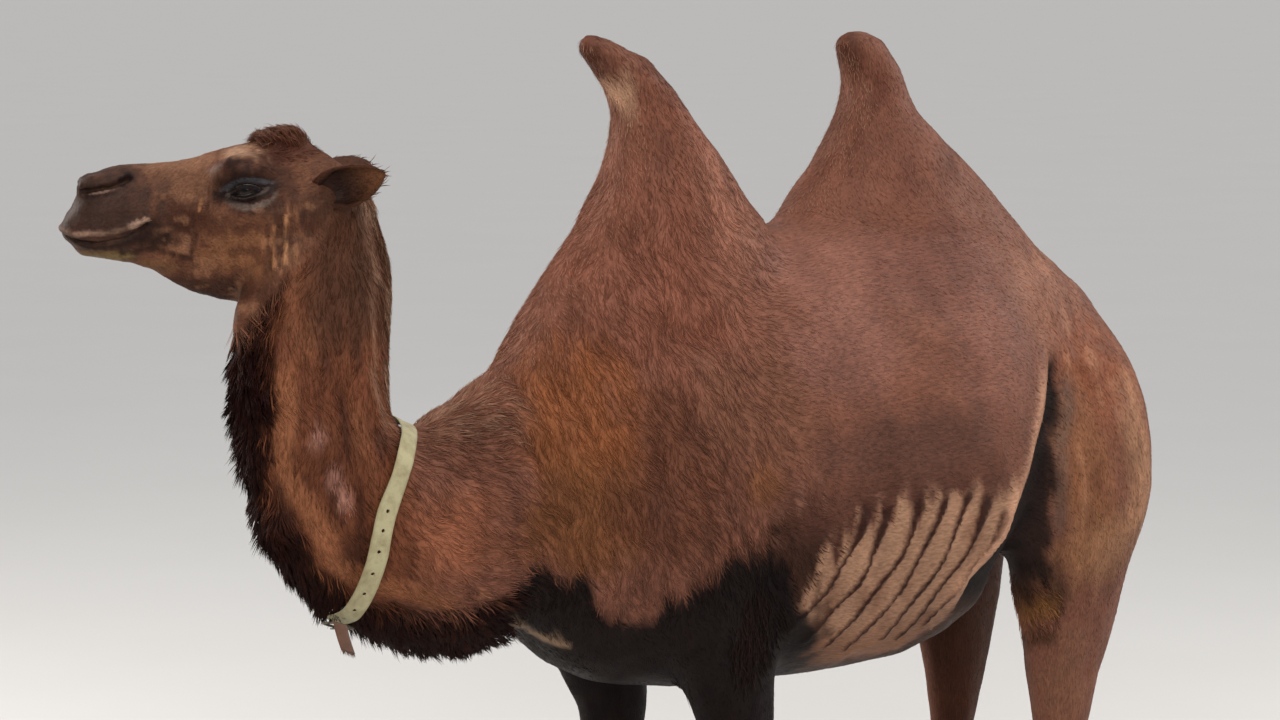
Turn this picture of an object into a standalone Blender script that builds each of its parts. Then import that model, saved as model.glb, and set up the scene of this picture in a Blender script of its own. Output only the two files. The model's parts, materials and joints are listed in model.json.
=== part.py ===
"""A Bactrian camel in its short summer coat, standing, life size, with a webbing collar.

The camel looks along -X, its left side is towards -Y, and its soles stand on z = 0.
The body is built as lofts through named stations, merged into one skin by a voxel remesh,
simplified, and then parted by thin cuts into the pieces that a person would name.
"""

import math

import bmesh
import bpy
import numpy as np
from mathutils import Matrix, Vector
from mathutils.bvhtree import BVHTree

# ---------------------------------------------------------------------------
# Driving dimensions, in metres. X = 0 lies between the forelegs.
# ---------------------------------------------------------------------------
GAP = 0.0003             # parting gap between neighbouring solids
VOXEL = 0.009            # cell of the remesh that merges the lofts
SMOOTHING = 24           # passes that soften the joins of the lofts
LIMB_SOFTNESS = 0.22     # how much of that the head, lower legs and tail get
BODY_TRIANGLES = 3300    # of the merged body before it is parted
HEAD_DETAIL = 0.05       # how much less the head is simplified than the rest

FORE_X, FORE_Y = 0.115, 0.170    # a foreleg's cannon
HIND_X, HIND_Y = 1.035, 0.190    # a hindleg's cannon
FOREFOOT, HIND_FOOT = (0.215, 0.185), (0.190, 0.160)    # a pad's length and width
# For each side, -1 the left: how far the forefoot and the hind foot stand ahead of these places.
FOOTING = ((-1, 0.0, 0.012), (1, 0.045, -0.040))
HEAD_YAW = math.radians(30)      # the head looks to the camel's right
HEAD_ORIGIN = Vector((-0.742, 0.082, 1.735))
EYE_RADIUS = 0.0205
EYE_PLACE = Vector((0.118, 0.083, 0.093))    # in the head's frame: forward, sideways, up
EAR_ROOT = Vector((-0.028, 0.074, 0.086))
EAR_TIP = Vector((-0.130, 0.132, 0.124))

COLLAR_CENTRE = Vector((-0.673, 0.023, 1.222))
COLLAR_TILT = math.radians(20.5)   # how far its top leans to the rear
STRAP_WIDTH = 0.040
STRAP_BOW = 0.030                            # how far its sides run forward
STRAP_LEAN = 0.034                        # how far its top runs to the rear
STRAP_SUNK, STRAP_PROUD = 0.006, 0.005    # below and above the coat's surface
BUCKLE_ANGLE = math.radians(-100)         # round the collar; -90 is its lowest point
BUCKLE_LENGTH, BUCKLE_WIDTH, BUCKLE_WIRE = 0.048, 0.056, 0.0030    # along, across, radius
TONGUE_WIRE = 0.0019
STRAP_END = (0.034, 0.0036, 0.056)        # width, thickness and length of the loose end

SIDEWAYS, FORWARD, UP, DOWN = Vector((0, 1, 0)), (1, 0, 0), (0, 0, 1), (0, 0, -1)

HIDE = (0.16, 0.07, 0.045, 1.0)
DARK_HIDE = (0.035, 0.016, 0.011, 1.0)
EYE_BROWN = (0.012, 0.007, 0.005, 1.0)
HORN = (0.05, 0.04, 0.033, 1.0)
WEBBING = (0.36, 0.33, 0.12, 1.0)
STEEL = (0.16, 0.17, 0.15, 1.0)
# The start of a piece's name, its colour, roughness and metallic; the first that fits counts.
FINISHES = (
    ("eye", EYE_BROWN, 0.10, 0.0),
    ("toenail", HORN, 0.55, 0.0),
    ("collar_strap", WEBBING, 0.85, 0.0),
    ("collar", STEEL, 0.45, 0.9),
    ("foreleg", DARK_HIDE, 0.95, 0.0),
    ("neck_upper", DARK_HIDE, 0.95, 0.0),
    ("", HIDE, 0.95, 0.0),
)


# ---------------------------------------------------------------------------
# Meshes and materials
# ---------------------------------------------------------------------------
def clear_scene():
    for obj in list(bpy.data.objects):
        bpy.data.objects.remove(obj)


def finish(name):
    """A plain Principled material for the piece of this name."""
    _, colour, roughness, metallic = next(row for row in FINISHES if name.startswith(row[0]))
    material = bpy.data.materials.new(name)
    material.use_nodes = True
    shader = material.node_tree.nodes["Principled BSDF"]
    shader.inputs["Base Color"].default_value = colour
    shader.inputs["Roughness"].default_value = roughness
    shader.inputs["Metallic"].default_value = metallic
    return material


def add_object(name, mesh):
    obj = bpy.data.objects.new(name, mesh)
    bpy.context.scene.collection.objects.link(obj)
    return obj


def as_helper(obj):
    """Leaves a guide or a cutter out of the model."""
    obj.hide_render = True
    obj.display_type = "WIRE"
    return obj


def mesh_from(name, bm):
    mesh = bpy.data.meshes.new(name)
    bm.to_mesh(mesh)
    bm.free()
    return mesh


def as_object(name, build, *arguments):
    """An object of the closed shape that build adds to an empty bmesh, with its faces turned out."""
    bm = bmesh.new()
    build(bm, *arguments)
    bmesh.ops.recalc_face_normals(bm, faces=bm.faces)
    return add_object(name, mesh_from(name, bm))


def evaluated(obj):
    """A new mesh of the object with its modifiers applied."""
    bpy.context.view_layer.update()
    graph = bpy.context.evaluated_depsgraph_get()
    return bpy.data.meshes.new_from_object(obj.evaluated_get(graph))


# ---------------------------------------------------------------------------
# Lofts
# ---------------------------------------------------------------------------
def through(stations, per_span):
    """Catmull-Rom rows through the stations, per_span rows for each span."""
    rows = np.array(stations, float)
    padded = np.vstack([2 * rows[0] - rows[1], rows, 2 * rows[-1] - rows[-2]])
    made = []
    for before, start, end, after in zip(padded, padded[1:], padded[2:], padded[3:]):
        for t in np.arange(per_span) / per_span:
            made.append(
                0.5 * (2 * start + (end - before) * t
                       + (2 * before - 5 * start + 4 * end - after) * t ** 2
                       + (3 * start - before - 3 * end + after) * t ** 3)
            )
    made.append(rows[-1])
    return np.array(made)


def loft(bm, stations, facing=None, square=2.0, ring=28, per_span=5):
    """Adds a closed tube to bm. A station is (x, y, z, half width, depth one way, depth the other).

    The rings stand across the tube, or square to facing where that is given. The half width
    lies along Y. The first depth lies along tangent x Y, which is up on a part that runs
    towards +X and to the rear on a part that runs down.
    """
    rows = through(stations, per_span)
    centres = rows[:, :3]
    tangents = np.gradient(centres, axis=0)
    angles = np.linspace(0, 2 * math.pi, ring, endpoint=False)
    across = np.sign(np.cos(angles)) * np.abs(np.cos(angles)) ** (2 / square)
    along = np.sign(np.sin(angles)) * np.abs(np.sin(angles)) ** (2 / square)
    rings = []
    for centre, tangent, (width, over, under) in zip(centres, tangents, rows[:, 3:]):
        tangent = Vector(facing or tangent).normalized()
        lateral = (SIDEWAYS - tangent * tangent.y).normalized()
        upright = tangent.cross(lateral)
        points = [
            Vector(centre) + lateral * (width * a) + upright * ((over if b > 0 else under) * b)
            for a, b in zip(across, along)
        ]
        rings.append([bm.verts.new(p) for p in points])
    bridge(bm, rings)


def bridge(bm, rings):
    """Joins the rings into one closed tube."""
    for first, second in zip(rings, rings[1:]):
        for i in range(len(first)):
            j = (i + 1) % len(first)
            bm.faces.new((first[i], first[j], second[j], second[i]))
    bm.faces.new(rings[0][::-1])
    bm.faces.new(rings[-1])


def blob(bm, centre, radii, place=Matrix(), turn=Matrix()):
    """Adds an ellipsoid to bm."""
    scale = Matrix.Diagonal((*radii, 1.0))
    matrix = place @ Matrix.Translation(centre) @ turn @ scale
    bmesh.ops.create_uvsphere(bm, u_segments=24, v_segments=14, radius=1.0, matrix=matrix)


def by_outline(rows):
    """Stations of an upright part from (z, front x, rear x, y, half width), such as a hump."""
    made = []
    for z, front, rear, y, width in rows:
        made.append(((front + rear) / 2, y, z, width, (rear - front) / 2, (rear - front) / 2))
    return made


def by_profile(rows):
    """Stations of a level part from (x, bottom z, widest z, top z, half width)."""
    return [(x, 0, wide, width, top - wide, wide - bottom) for x, bottom, wide, top, width in rows]


# ---------------------------------------------------------------------------
# The body's lofts
# ---------------------------------------------------------------------------
def add_trunk(bm):
    loft(bm, by_profile([
        (-0.40, 1.08, 1.20, 1.36, 0.085),
        (-0.33, 0.96, 1.18, 1.45, 0.165),
        (-0.20, 0.84, 1.15, 1.56, 0.225),
        (0.00, 0.785, 1.14, 1.64, 0.272),
        (0.22, 0.770, 1.13, 1.690, 0.325),
        (0.42, 0.765, 1.12, 1.712, 0.362),
        (0.60, 0.775, 1.13, 1.722, 0.378),
        (0.72, 0.825, 1.16, 1.722, 0.366),
        (0.82, 0.915, 1.20, 1.715, 0.322),
        (0.93, 1.010, 1.25, 1.690, 0.270),
        (1.06, 1.080, 1.28, 1.640, 0.230),
        (1.17, 1.130, 1.30, 1.570, 0.188),
        (1.27, 1.190, 1.32, 1.480, 0.126),
        (1.325, 1.260, 1.34, 1.420, 0.060),
    ]), facing=FORWARD, square=2.15, ring=40)


def add_humps(bm):
    loft(bm, by_outline([
        (1.30, -0.22, 0.32, 0.0, 0.120),
        (1.42, -0.375, 0.42, 0.0, 0.170),
        (1.50, -0.335, 0.470, -0.002, 0.192),
        (1.58, -0.275, 0.430, -0.005, 0.192),
        (1.68, -0.186, 0.325, -0.010, 0.172),
        (1.76, -0.128, 0.243, -0.014, 0.150),
        (1.84, -0.090, 0.184, -0.018, 0.124),
        (1.90, -0.077, 0.132, -0.021, 0.101),
        (1.96, -0.083, 0.084, -0.024, 0.079),
        (2.01, -0.116, 0.037, -0.027, 0.063),
        (2.055, -0.172, -0.014, -0.030, 0.051),
        (2.085, -0.192, -0.082, -0.032, 0.039),
        (2.106, -0.180, -0.128, -0.032, 0.020),
    ]), facing=UP)
    loft(bm, by_outline([
        (1.30, 0.50, 1.00, 0.0, 0.120),
        (1.44, 0.40, 1.16, 0.0, 0.190),
        (1.56, 0.395, 1.140, 0.004, 0.205),
        (1.66, 0.400, 1.065, 0.008, 0.190),
        (1.73, 0.420, 0.990, 0.012, 0.168),
        (1.80, 0.490, 0.918, 0.016, 0.140),
        (1.868, 0.542, 0.834, 0.019, 0.110),
        (1.93, 0.574, 0.765, 0.022, 0.083),
        (1.986, 0.586, 0.740, 0.024, 0.066),
        (2.035, 0.566, 0.716, 0.024, 0.056),
        (2.075, 0.552, 0.683, 0.024, 0.044),
        (2.097, 0.575, 0.645, 0.024, 0.022),
    ]), facing=UP)


def add_neck(bm):
    """The neck sags forward from the chest and climbs to the head, with its mane as a keel."""
    loft(bm, [
        (-0.12, 0.0, 1.30, 0.150, 0.26, 0.20),
        (-0.27, 0.0, 1.235, 0.160, 0.250, 0.250),
        (-0.41, 0.0, 1.190, 0.150, 0.258, 0.228),
        (-0.54, 0.006, 1.175, 0.138, 0.250, 0.218),
        (-0.655, 0.016, 1.225, 0.126, 0.200, 0.180),
        (-0.735, 0.030, 1.340, 0.115, 0.156, 0.140),
        (-0.753, 0.045, 1.475, 0.105, 0.148, 0.158),
        (-0.740, 0.062, 1.600, 0.097, 0.150, 0.160),
        (-0.722, 0.075, 1.700, 0.091, 0.148, 0.154),
        (-0.712, 0.083, 1.800, 0.075, 0.120, 0.118),
        (-0.712, 0.083, 1.850, 0.045, 0.080, 0.060),
    ], ring=32)
    loft(bm, [
        (-0.40, 0.0, 1.06, 0.040, 0.06, 0.050),
        (-0.47, 0.0, 1.005, 0.055, 0.06, 0.068),
        (-0.60, 0.0, 1.005, 0.058, 0.06, 0.066),
        (-0.735, 0.008, 1.080, 0.055, 0.06, 0.064),
        (-0.828, 0.018, 1.185, 0.053, 0.06, 0.062),
        (-0.875, 0.035, 1.320, 0.050, 0.06, 0.060),
        (-0.882, 0.052, 1.470, 0.047, 0.06, 0.052),
        (-0.858, 0.070, 1.590, 0.042, 0.06, 0.046),
        (-0.830, 0.085, 1.660, 0.030, 0.04, 0.035),
    ], ring=20)


def leg_stations(x, y, rows):
    """Stations of a leg from (z, forward offset of its axis, outward offset, half width, rear, front)."""
    side = math.copysign(1, y)
    return [(x - ahead, y + side * out, z, width, rear, front)
            for z, ahead, out, width, rear, front in rows]


def add_foreleg(bm, side, ahead):
    loft(bm, leg_stations(FORE_X - ahead, side * FORE_Y, [
        (1.46, 0.09, -0.04, 0.060, 0.12, 0.10),
        (1.34, 0.13, -0.005, 0.082, 0.18, 0.13),
        (1.18, 0.16, 0.020, 0.098, 0.23, 0.15),
        (1.04, 0.13, 0.022, 0.097, 0.205, 0.165),
        (0.93, 0.08, 0.014, 0.090, 0.160, 0.158),
        (0.83, 0.035, 0.006, 0.078, 0.115, 0.122),
        (0.72, 0.005, 0.0, 0.066, 0.088, 0.088),
        (0.61, 0.00, 0.0, 0.055, 0.062, 0.064),
        (0.535, 0.005, 0.0, 0.058, 0.054, 0.064),
        (0.46, 0.002, 0.0, 0.052, 0.050, 0.056),
        (0.38, 0.00, 0.0, 0.039, 0.042, 0.040),
        (0.26, 0.00, 0.0, 0.036, 0.040, 0.037),
        (0.185, 0.005, 0.0, 0.046, 0.052, 0.046),
        (0.115, 0.030, 0.0, 0.045, 0.048, 0.048),
        (0.06, 0.050, 0.0, 0.052, 0.052, 0.057),
    ]), facing=DOWN)


def add_hindleg(bm, side, ahead):
    loft(bm, leg_stations(HIND_X - ahead, side * HIND_Y, [
        (1.52, -0.02, -0.10, 0.060, 0.13, 0.12),
        (1.40, -0.02, -0.045, 0.098, 0.205, 0.19),
        (1.25, -0.02, 0.000, 0.112, 0.240, 0.220),
        (1.11, -0.01, 0.020, 0.112, 0.240, 0.225),
        (1.02, -0.005, 0.022, 0.104, 0.222, 0.205),
        (0.93, -0.010, 0.018, 0.092, 0.172, 0.166),
        (0.81, -0.018, 0.008, 0.074, 0.138, 0.130),
        (0.70, -0.014, 0.0, 0.060, 0.108, 0.098),
        (0.61, -0.012, 0.0, 0.054, 0.084, 0.072),
        (0.53, -0.008, 0.0, 0.048, 0.062, 0.056),
        (0.43, 0.00, 0.0, 0.038, 0.043, 0.041),
        (0.28, 0.00, 0.0, 0.035, 0.040, 0.037),
        (0.19, 0.005, 0.0, 0.044, 0.050, 0.045),
        (0.115, 0.028, 0.0, 0.043, 0.046, 0.047),
        (0.06, 0.045, 0.0, 0.048, 0.049, 0.052),
    ]), facing=DOWN)


def feet(side, fore_ahead, hind_ahead):
    """The middle and the (length, width) of the forefoot and the hind foot on one side."""
    return [
        ((FORE_X - fore_ahead - 0.068, side * FORE_Y), FOREFOOT),
        ((HIND_X - hind_ahead - 0.066, side * HIND_Y), HIND_FOOT),
    ]


def toe_place(foot, toe, length, width):
    """A toe's middle and its turn about the vertical; toe is -1 or 1 along Y."""
    middle = (foot[0] - length * 0.19, foot[1] + toe * width * 0.24, 0.028)
    return middle, -toe * math.radians(9)


def add_foot(bm, foot, length, width):
    """The broad two-toed pad: two long toes on one soft cushion, flattened by the floor later."""
    blob(bm, (foot[0] + 0.012, foot[1], 0.030), (length * 0.50, width * 0.48, 0.056))
    for toe in (-1, 1):
        middle, turn = toe_place(foot, toe, length, width)
        blob(bm, middle, (length * 0.38, width * 0.27, 0.050), turn=Matrix.Rotation(turn, 4, "Z"))


def add_tail(bm):
    loft(bm, [
        (1.20, 0.0, 1.440, 0.055, 0.055, 0.055),
        (1.300, 0.004, 1.425, 0.045, 0.042, 0.045),
        (1.366, 0.012, 1.350, 0.034, 0.032, 0.034),
        (1.386, 0.022, 1.230, 0.028, 0.027, 0.029),
        (1.384, 0.030, 1.110, 0.031, 0.030, 0.031),
        (1.374, 0.034, 1.010, 0.030, 0.030, 0.030),
        (1.366, 0.034, 0.940, 0.014, 0.014, 0.014),
    ], ring=16)


def head_place():
    """The head's own frame: x forward along the muzzle, y to the camel's left, z up."""
    return Matrix.Translation(HEAD_ORIGIN) @ Matrix.Rotation(math.pi - HEAD_YAW, 4, "Z")


def head_section(bottom, top, jaw, cheek, brow, half_ring=10):
    """One closed section of the head as (y, z) points, through its chin, jaw, cheek, brow and crown."""
    height = top - bottom
    half = [(0.0, bottom), (jaw, bottom + 0.16 * height), (cheek, bottom + 0.50 * height),
            (brow, bottom + 0.84 * height), (0.0, top)]
    knots = np.array([(-jaw, half[1][1])] + half + [(-brow, half[3][1])])
    points = []
    for before, start, end, after in zip(knots, knots[1:], knots[2:], knots[3:]):
        for t in np.arange(half_ring) / half_ring:
            points.append(
                0.5 * (2 * start + (end - before) * t
                       + (2 * before - 5 * start + 4 * end - after) * t ** 2
                       + (3 * start - before - 3 * end + after) * t ** 3)
            )
    right = [(-y, z) for y, z in points[:0:-1]]
    return points + [(0.0, top)] + right


def add_skull(bm, place):
    """The skull and jaws from the occiput to the lips: (x, bottom, top, jaw, cheek and brow half width)."""
    rows = through([
        (-0.085, -0.020, 0.115, 0.035, 0.060, 0.045),
        (-0.050, -0.085, 0.152, 0.055, 0.080, 0.058),
        (0.000, -0.116, 0.172, 0.058, 0.092, 0.066),
        (0.050, -0.124, 0.180, 0.056, 0.096, 0.072),
        (0.100, -0.126, 0.180, 0.052, 0.095, 0.076),
        (0.150, -0.124, 0.171, 0.046, 0.086, 0.072),
        (0.200, -0.113, 0.156, 0.040, 0.072, 0.058),
        (0.250, -0.090, 0.147, 0.036, 0.060, 0.045),
        (0.300, -0.060, 0.144, 0.036, 0.054, 0.040),
        (0.350, -0.046, 0.142, 0.042, 0.057, 0.042),
        (0.392, -0.040, 0.126, 0.047, 0.061, 0.043),
        (0.425, -0.026, 0.088, 0.045, 0.058, 0.036),
        (0.450, -0.002, 0.050, 0.032, 0.044, 0.026),
        (0.463, 0.008, 0.022, 0.012, 0.018, 0.012),
    ], 3)
    rings = []
    for x, *section in rows:
        rings.append([bm.verts.new(place @ Vector((x, y, z))) for y, z in head_section(*section)])
    bridge(bm, rings)


def add_head(bm):
    place = head_place()
    add_skull(bm, place)
    for side in (-1, 1):
        blob(bm, (0.125, side * 0.070, 0.128), (0.060, 0.038, 0.034), place)    # brow
        blob(bm, (0.110, side * 0.070, 0.046), (0.090, 0.032, 0.026), place)    # cheek bone
        blob(bm, (0.050, side * 0.056, -0.035), (0.085, 0.038, 0.078), place)   # jaw muscle
        blob(bm, (0.385, side * 0.030, 0.098), (0.050, 0.027, 0.030), place)    # nostril's wing
        blob(bm, (0.395, side * 0.028, 0.030), (0.060, 0.036, 0.032), place)    # upper lip
    blob(bm, (0.382, 0, -0.016), (0.056, 0.042, 0.025), place)                  # lower lip
    blob(bm, (0.046, 0, 0.178), (0.062, 0.055, 0.038), place)                   # forelock


def body_lofts(bm):
    add_trunk(bm)
    add_humps(bm)
    add_neck(bm)
    add_tail(bm)
    add_head(bm)
    for side, fore_ahead, hind_ahead in FOOTING:
        add_foreleg(bm, side, fore_ahead)
        add_hindleg(bm, side, hind_ahead)
        for foot, (length, width) in feet(side, fore_ahead, hind_ahead):
            add_foot(bm, foot, length, width)


def merged_body():
    """All the lofts as one smooth closed skin, simplified most where it is plainest, on flat soles."""
    obj = as_helper(as_object("body_lofts", body_lofts))
    remesh = obj.modifiers.new("merge", "REMESH")
    remesh.mode = "VOXEL"
    remesh.voxel_size = VOXEL
    dense = evaluated(obj)
    bpy.data.objects.remove(obj)
    body = simplified(dense)
    ground = as_helper(as_object("ground", prism, [(-2, -1), (3, -1), (3, 0), (-2, 0)], -1, 1))
    cut(body, ground, "DIFFERENCE")
    bpy.data.objects.remove(ground)
    return body


def simplified(dense):
    """The dense skin softened and brought down to BODY_TRIANGLES, with more of them left on the head."""
    obj = add_object("body", dense)
    soft = obj.vertex_groups.new(name="soft")
    plain = obj.vertex_groups.new(name="plain")
    back_of_head = HEAD_ORIGIN.x + 0.02
    for vertex in dense.vertices:
        x, y, z = vertex.co
        on_head = x < back_of_head and z > HEAD_ORIGIN.z - 0.13
        plain.add([vertex.index], 1 - HEAD_DETAIL if on_head else 1.0, "REPLACE")
        on_limb = on_head or z < 0.95 or x > 1.34
        soft.add([vertex.index], LIMB_SOFTNESS if on_limb else 1.0, "REPLACE")
    soften = obj.modifiers.new("soften", "SMOOTH")
    soften.factor = 0.5
    soften.iterations = SMOOTHING
    soften.vertex_group = soft.name
    dense.calc_loop_triangles()
    decimate = obj.modifiers.new("simplify", "DECIMATE")
    decimate.ratio = BODY_TRIANGLES / len(dense.loop_triangles)
    decimate.vertex_group = plain.name
    decimate.use_collapse_triangulate = True
    mesh = evaluated(obj)
    bpy.data.objects.remove(obj)
    return add_object("body", mesh)


# ---------------------------------------------------------------------------
# Cuts
# ---------------------------------------------------------------------------
def prism(bm, outline, y_low, y_high):
    """Adds an (x, z) outline drawn out along Y to bm."""
    low = [bm.verts.new((x, y_low, z)) for x, z in outline]
    high = [bm.verts.new((x, y_high, z)) for x, z in outline]
    bridge(bm, [low, high])


def block(bm, point, normal, reach, breadth):
    """Adds a box to bm that reaches from point against normal, with one face square to normal there."""
    turn = Vector(normal).to_track_quat("Z", "Y").to_matrix().to_4x4()
    middle = Matrix.Translation(Vector((0, 0, -reach / 2)))
    scale = Matrix.Diagonal((breadth, breadth, reach, 1.0))
    bmesh.ops.create_cube(bm, size=1.0, matrix=Matrix.Translation(point) @ turn @ middle @ scale)


def grown(cutter, distance):
    """A copy of the cutter, distance larger all round."""
    copy = as_helper(add_object(cutter.name + "_grown", cutter.data.copy()))
    normals = [vertex.normal.copy() for vertex in cutter.data.vertices]
    for vertex, normal in zip(copy.data.vertices, normals):
        vertex.co += normal * distance
    return copy


def cut(obj, cutter, operation):
    boolean = obj.modifiers.new("cut", "BOOLEAN")
    boolean.operation = operation
    boolean.solver = "EXACT"
    boolean.object = cutter
    mesh = evaluated(obj)
    obj.modifiers.clear()
    obj.data = mesh


def make_room(obj, guest, distance=GAP):
    """Takes the guest's place, and a gap around it, out of obj."""
    cutter = grown(guest, distance)
    cut(obj, cutter, "DIFFERENCE")
    bpy.data.objects.remove(cutter)


def part_off(body, name, build, *arguments):
    """Parts off the piece of the body inside the shape that build makes, and leaves a gap there."""
    cutter = as_helper(as_object(name + "_cutter", build, *arguments))
    piece = add_object(name, body.data.copy())
    cut(piece, cutter, "INTERSECT")
    # A corner of three square faces moves out by the square root of three for a gap of one.
    make_room(body, cutter, GAP * math.sqrt(3))
    bpy.data.objects.remove(cutter)
    return piece


def part_legs(body):
    """The feet first, then what stands on them, each inside its own prism."""
    pieces = {}
    for side, fore_ahead, hind_ahead in FOOTING:
        hand = "left" if side < 0 else "right"
        beside = sorted((side * 0.02, side * 0.60))
        outside = sorted((side * 0.085, side * 0.60))
        fore, hind = FORE_X - fore_ahead, HIND_X - hind_ahead
        cuts = {
            "foreleg_foot": ([(fore - 0.35, -0.1), (fore + 0.20, -0.1),
                              (fore + 0.20, 0.15), (fore - 0.35, 0.15)], beside),
            "foreleg_cannon": ([(fore - 0.30, 0.10), (fore + 0.20, 0.10),
                                (fore + 0.20, 0.59), (fore - 0.30, 0.59)], beside),
            "foreleg_forearm": ([(fore - 0.33, 0.50), (fore + 0.100, 0.50),
                                 (fore + 0.105, 1.00), (fore - 0.33, 0.96)], outside),
            "hindleg_foot": ([(hind - 0.35, -0.1), (hind + 0.20, -0.1),
                              (hind + 0.20, 0.15), (hind - 0.35, 0.15)], beside),
            "hindleg_cannon": ([(hind - 0.30, 0.10), (hind + 0.25, 0.10),
                                (hind + 0.25, 0.64), (hind - 0.30, 0.64)], beside),
            "hindleg_shank": ([(hind - 0.19, 0.55), (hind + 0.30, 0.55),
                               (hind + 0.30, 0.92), (hind - 0.19, 0.98)], outside),
            "hindleg_thigh": ([(hind - 0.205, 0.85), (hind + 0.40, 0.85), (hind + 0.40, 1.43),
                               (hind - 0.10, 1.43), (hind - 0.155, 1.36), (hind - 0.205, 1.18)],
                              outside),
        }
        for name, (outline, (low, high)) in cuts.items():
            pieces[f"{name}_{hand}"] = part_off(body, f"{name}_{hand}", prism, outline, low, high)
    return pieces


def part_body(body):
    """The named pieces of the body; what is left over is the trunk."""
    place = head_place()
    collar_axis = collar_frame().to_3x3() @ Vector((1, 0, 0))
    pieces = {}
    throat = place @ Vector((0.015, 0.0, -0.020))
    head_back = place.to_3x3() @ Vector((-0.752, 0.0, -0.658))
    pieces["head"] = part_off(body, "head", block, throat, head_back, 0.62, 0.64)
    upper = COLLAR_CENTRE - collar_axis * 0.105
    pieces["neck_upper"] = part_off(body, "neck_upper", block, upper, collar_axis, 0.80, 1.50)
    chest = [(-1.2, 0.8), (-0.415, 0.8), (-0.435, 1.8), (-1.2, 1.8)]
    pieces["neck_lower"] = part_off(body, "neck_lower", prism, chest, -0.5, 0.5)
    front = [(-0.40, 1.60), (0.375, 1.735), (0.375, 2.3), (-0.40, 2.3)]
    pieces["hump_front"] = part_off(body, "hump_front", prism, front, -0.5, 0.5)
    rear = [(0.376, 1.738), (1.20, 1.640), (1.20, 2.3), (0.376, 2.3)]
    pieces["hump_rear"] = part_off(body, "hump_rear", prism, rear, -0.5, 0.5)
    root = [(1.322, 1.52), (1.338, 1.36), (1.328, 1.25), (1.328, 0.8), (1.60, 0.8), (1.60, 1.52)]
    pieces["tail"] = part_off(body, "tail", prism, root, -0.045, 0.10)
    pieces.update(part_legs(body))
    body.name = "trunk"
    pieces["trunk"] = body
    return pieces


# ---------------------------------------------------------------------------
# Ears, eyes and toenails
# ---------------------------------------------------------------------------
def add_ear(bm, side):
    """A leaf with its hollow turned outwards: C-shaped rings from the root to the tip."""
    root = Vector((EAR_ROOT.x, side * EAR_ROOT.y, EAR_ROOT.z))
    tip = Vector((EAR_TIP.x, side * EAR_TIP.y, EAR_TIP.z))
    length = tip - root
    along = length.normalized()
    mouth = Vector((0.42, side * 0.85, -0.22))
    mouth = (mouth - along * mouth.dot(along)).normalized()
    across = along.cross(mouth)
    # (share of the length, half width, depth of the back, wall)
    rows = through([
        (-0.16, 0.030, 0.021, 0.020),
        (0.05, 0.042, 0.026, 0.019),
        (0.25, 0.045, 0.029, 0.010),
        (0.48, 0.042, 0.026, 0.0075),
        (0.70, 0.034, 0.019, 0.0065),
        (0.88, 0.022, 0.012, 0.0055),
        (1.00, 0.008, 0.006, 0.0045),
    ], 1)
    spread = np.radians(np.linspace(-104, 104, 8))
    place = head_place()
    rings = []
    for share, width, depth, wall in rows:
        centre = root + length * share
        outer = [centre + across * (width * math.sin(a)) - mouth * (depth * math.cos(a))
                 for a in spread]
        inner = [centre + across * ((width - wall) * math.sin(a * 0.93))
                 - mouth * ((depth - wall) * math.cos(a * 0.93)) for a in spread[::-1]]
        rings.append([bm.verts.new(place @ p) for p in outer + inner])
    bridge(bm, rings)
    bmesh.ops.triangulate(bm, faces=bm.faces)


def add_eye(bm, side):
    centre = head_place() @ Vector((EYE_PLACE.x, side * EYE_PLACE.y, EYE_PLACE.z))
    bmesh.ops.create_uvsphere(bm, u_segments=14, v_segments=8, radius=EYE_RADIUS,
                              matrix=Matrix.Translation(centre))


def add_toenail(bm, tip, turn):
    """A blunt nail on the front of a toe, clear of the floor. Its rows run from the tip to the root."""
    rows = by_profile([
        (-0.030, 0.007, 0.011, 0.017, 0.0065),
        (-0.022, 0.007, 0.015, 0.029, 0.0130),
        (-0.004, 0.011, 0.023, 0.046, 0.0170),
        (0.022, 0.019, 0.030, 0.050, 0.0130),
    ])
    loft(bm, rows, facing=FORWARD, square=2.4, ring=8, per_span=1)
    place = Matrix.Translation(tip) @ Matrix.Rotation(turn, 4, "Z")
    bmesh.ops.transform(bm, matrix=place, verts=bm.verts)


def add_small_parts(pieces):
    """Eyes in their sockets, ears on the head and a nail on each toe."""
    made = {}
    for side, fore_ahead, hind_ahead in FOOTING:
        hand = "left" if side < 0 else "right"
        # The camel's left is at +y in the head's frame.
        made[f"eye_{hand}"] = eye = as_object(f"eye_{hand}", add_eye, -side)
        make_room(pieces["head"], eye)
        made[f"ear_{hand}"] = ear = as_object(f"ear_{hand}", add_ear, -side)
        make_room(ear, pieces["head"])
        make_room(pieces["neck_upper"], ear)
        for limb, (foot, (length, width)) in zip(("foreleg", "hindleg"),
                                                 feet(side, fore_ahead, hind_ahead)):
            for toe, rank in ((side, "outer"), (-side, "inner")):
                middle, turn = toe_place(foot, toe, length, width)
                ahead = Vector((-math.cos(turn), -math.sin(turn), 0)) * (length * 0.36)
                tip = Vector((middle[0], middle[1], 0)) + ahead
                name = f"toenail_{limb}_{hand}_{rank}"
                made[name] = as_object(name, add_toenail, tip, turn)
                make_room(pieces[f"{limb}_foot_{hand}"], made[name])
    return made


# ---------------------------------------------------------------------------
# Collar
# ---------------------------------------------------------------------------
def collar_frame():
    """Columns: the collar's axis, to the rear along the neck, sideways, up in its plane; its centre."""
    return Matrix.Translation(COLLAR_CENTRE) @ Matrix.Rotation(COLLAR_TILT, 4, "Y")


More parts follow.
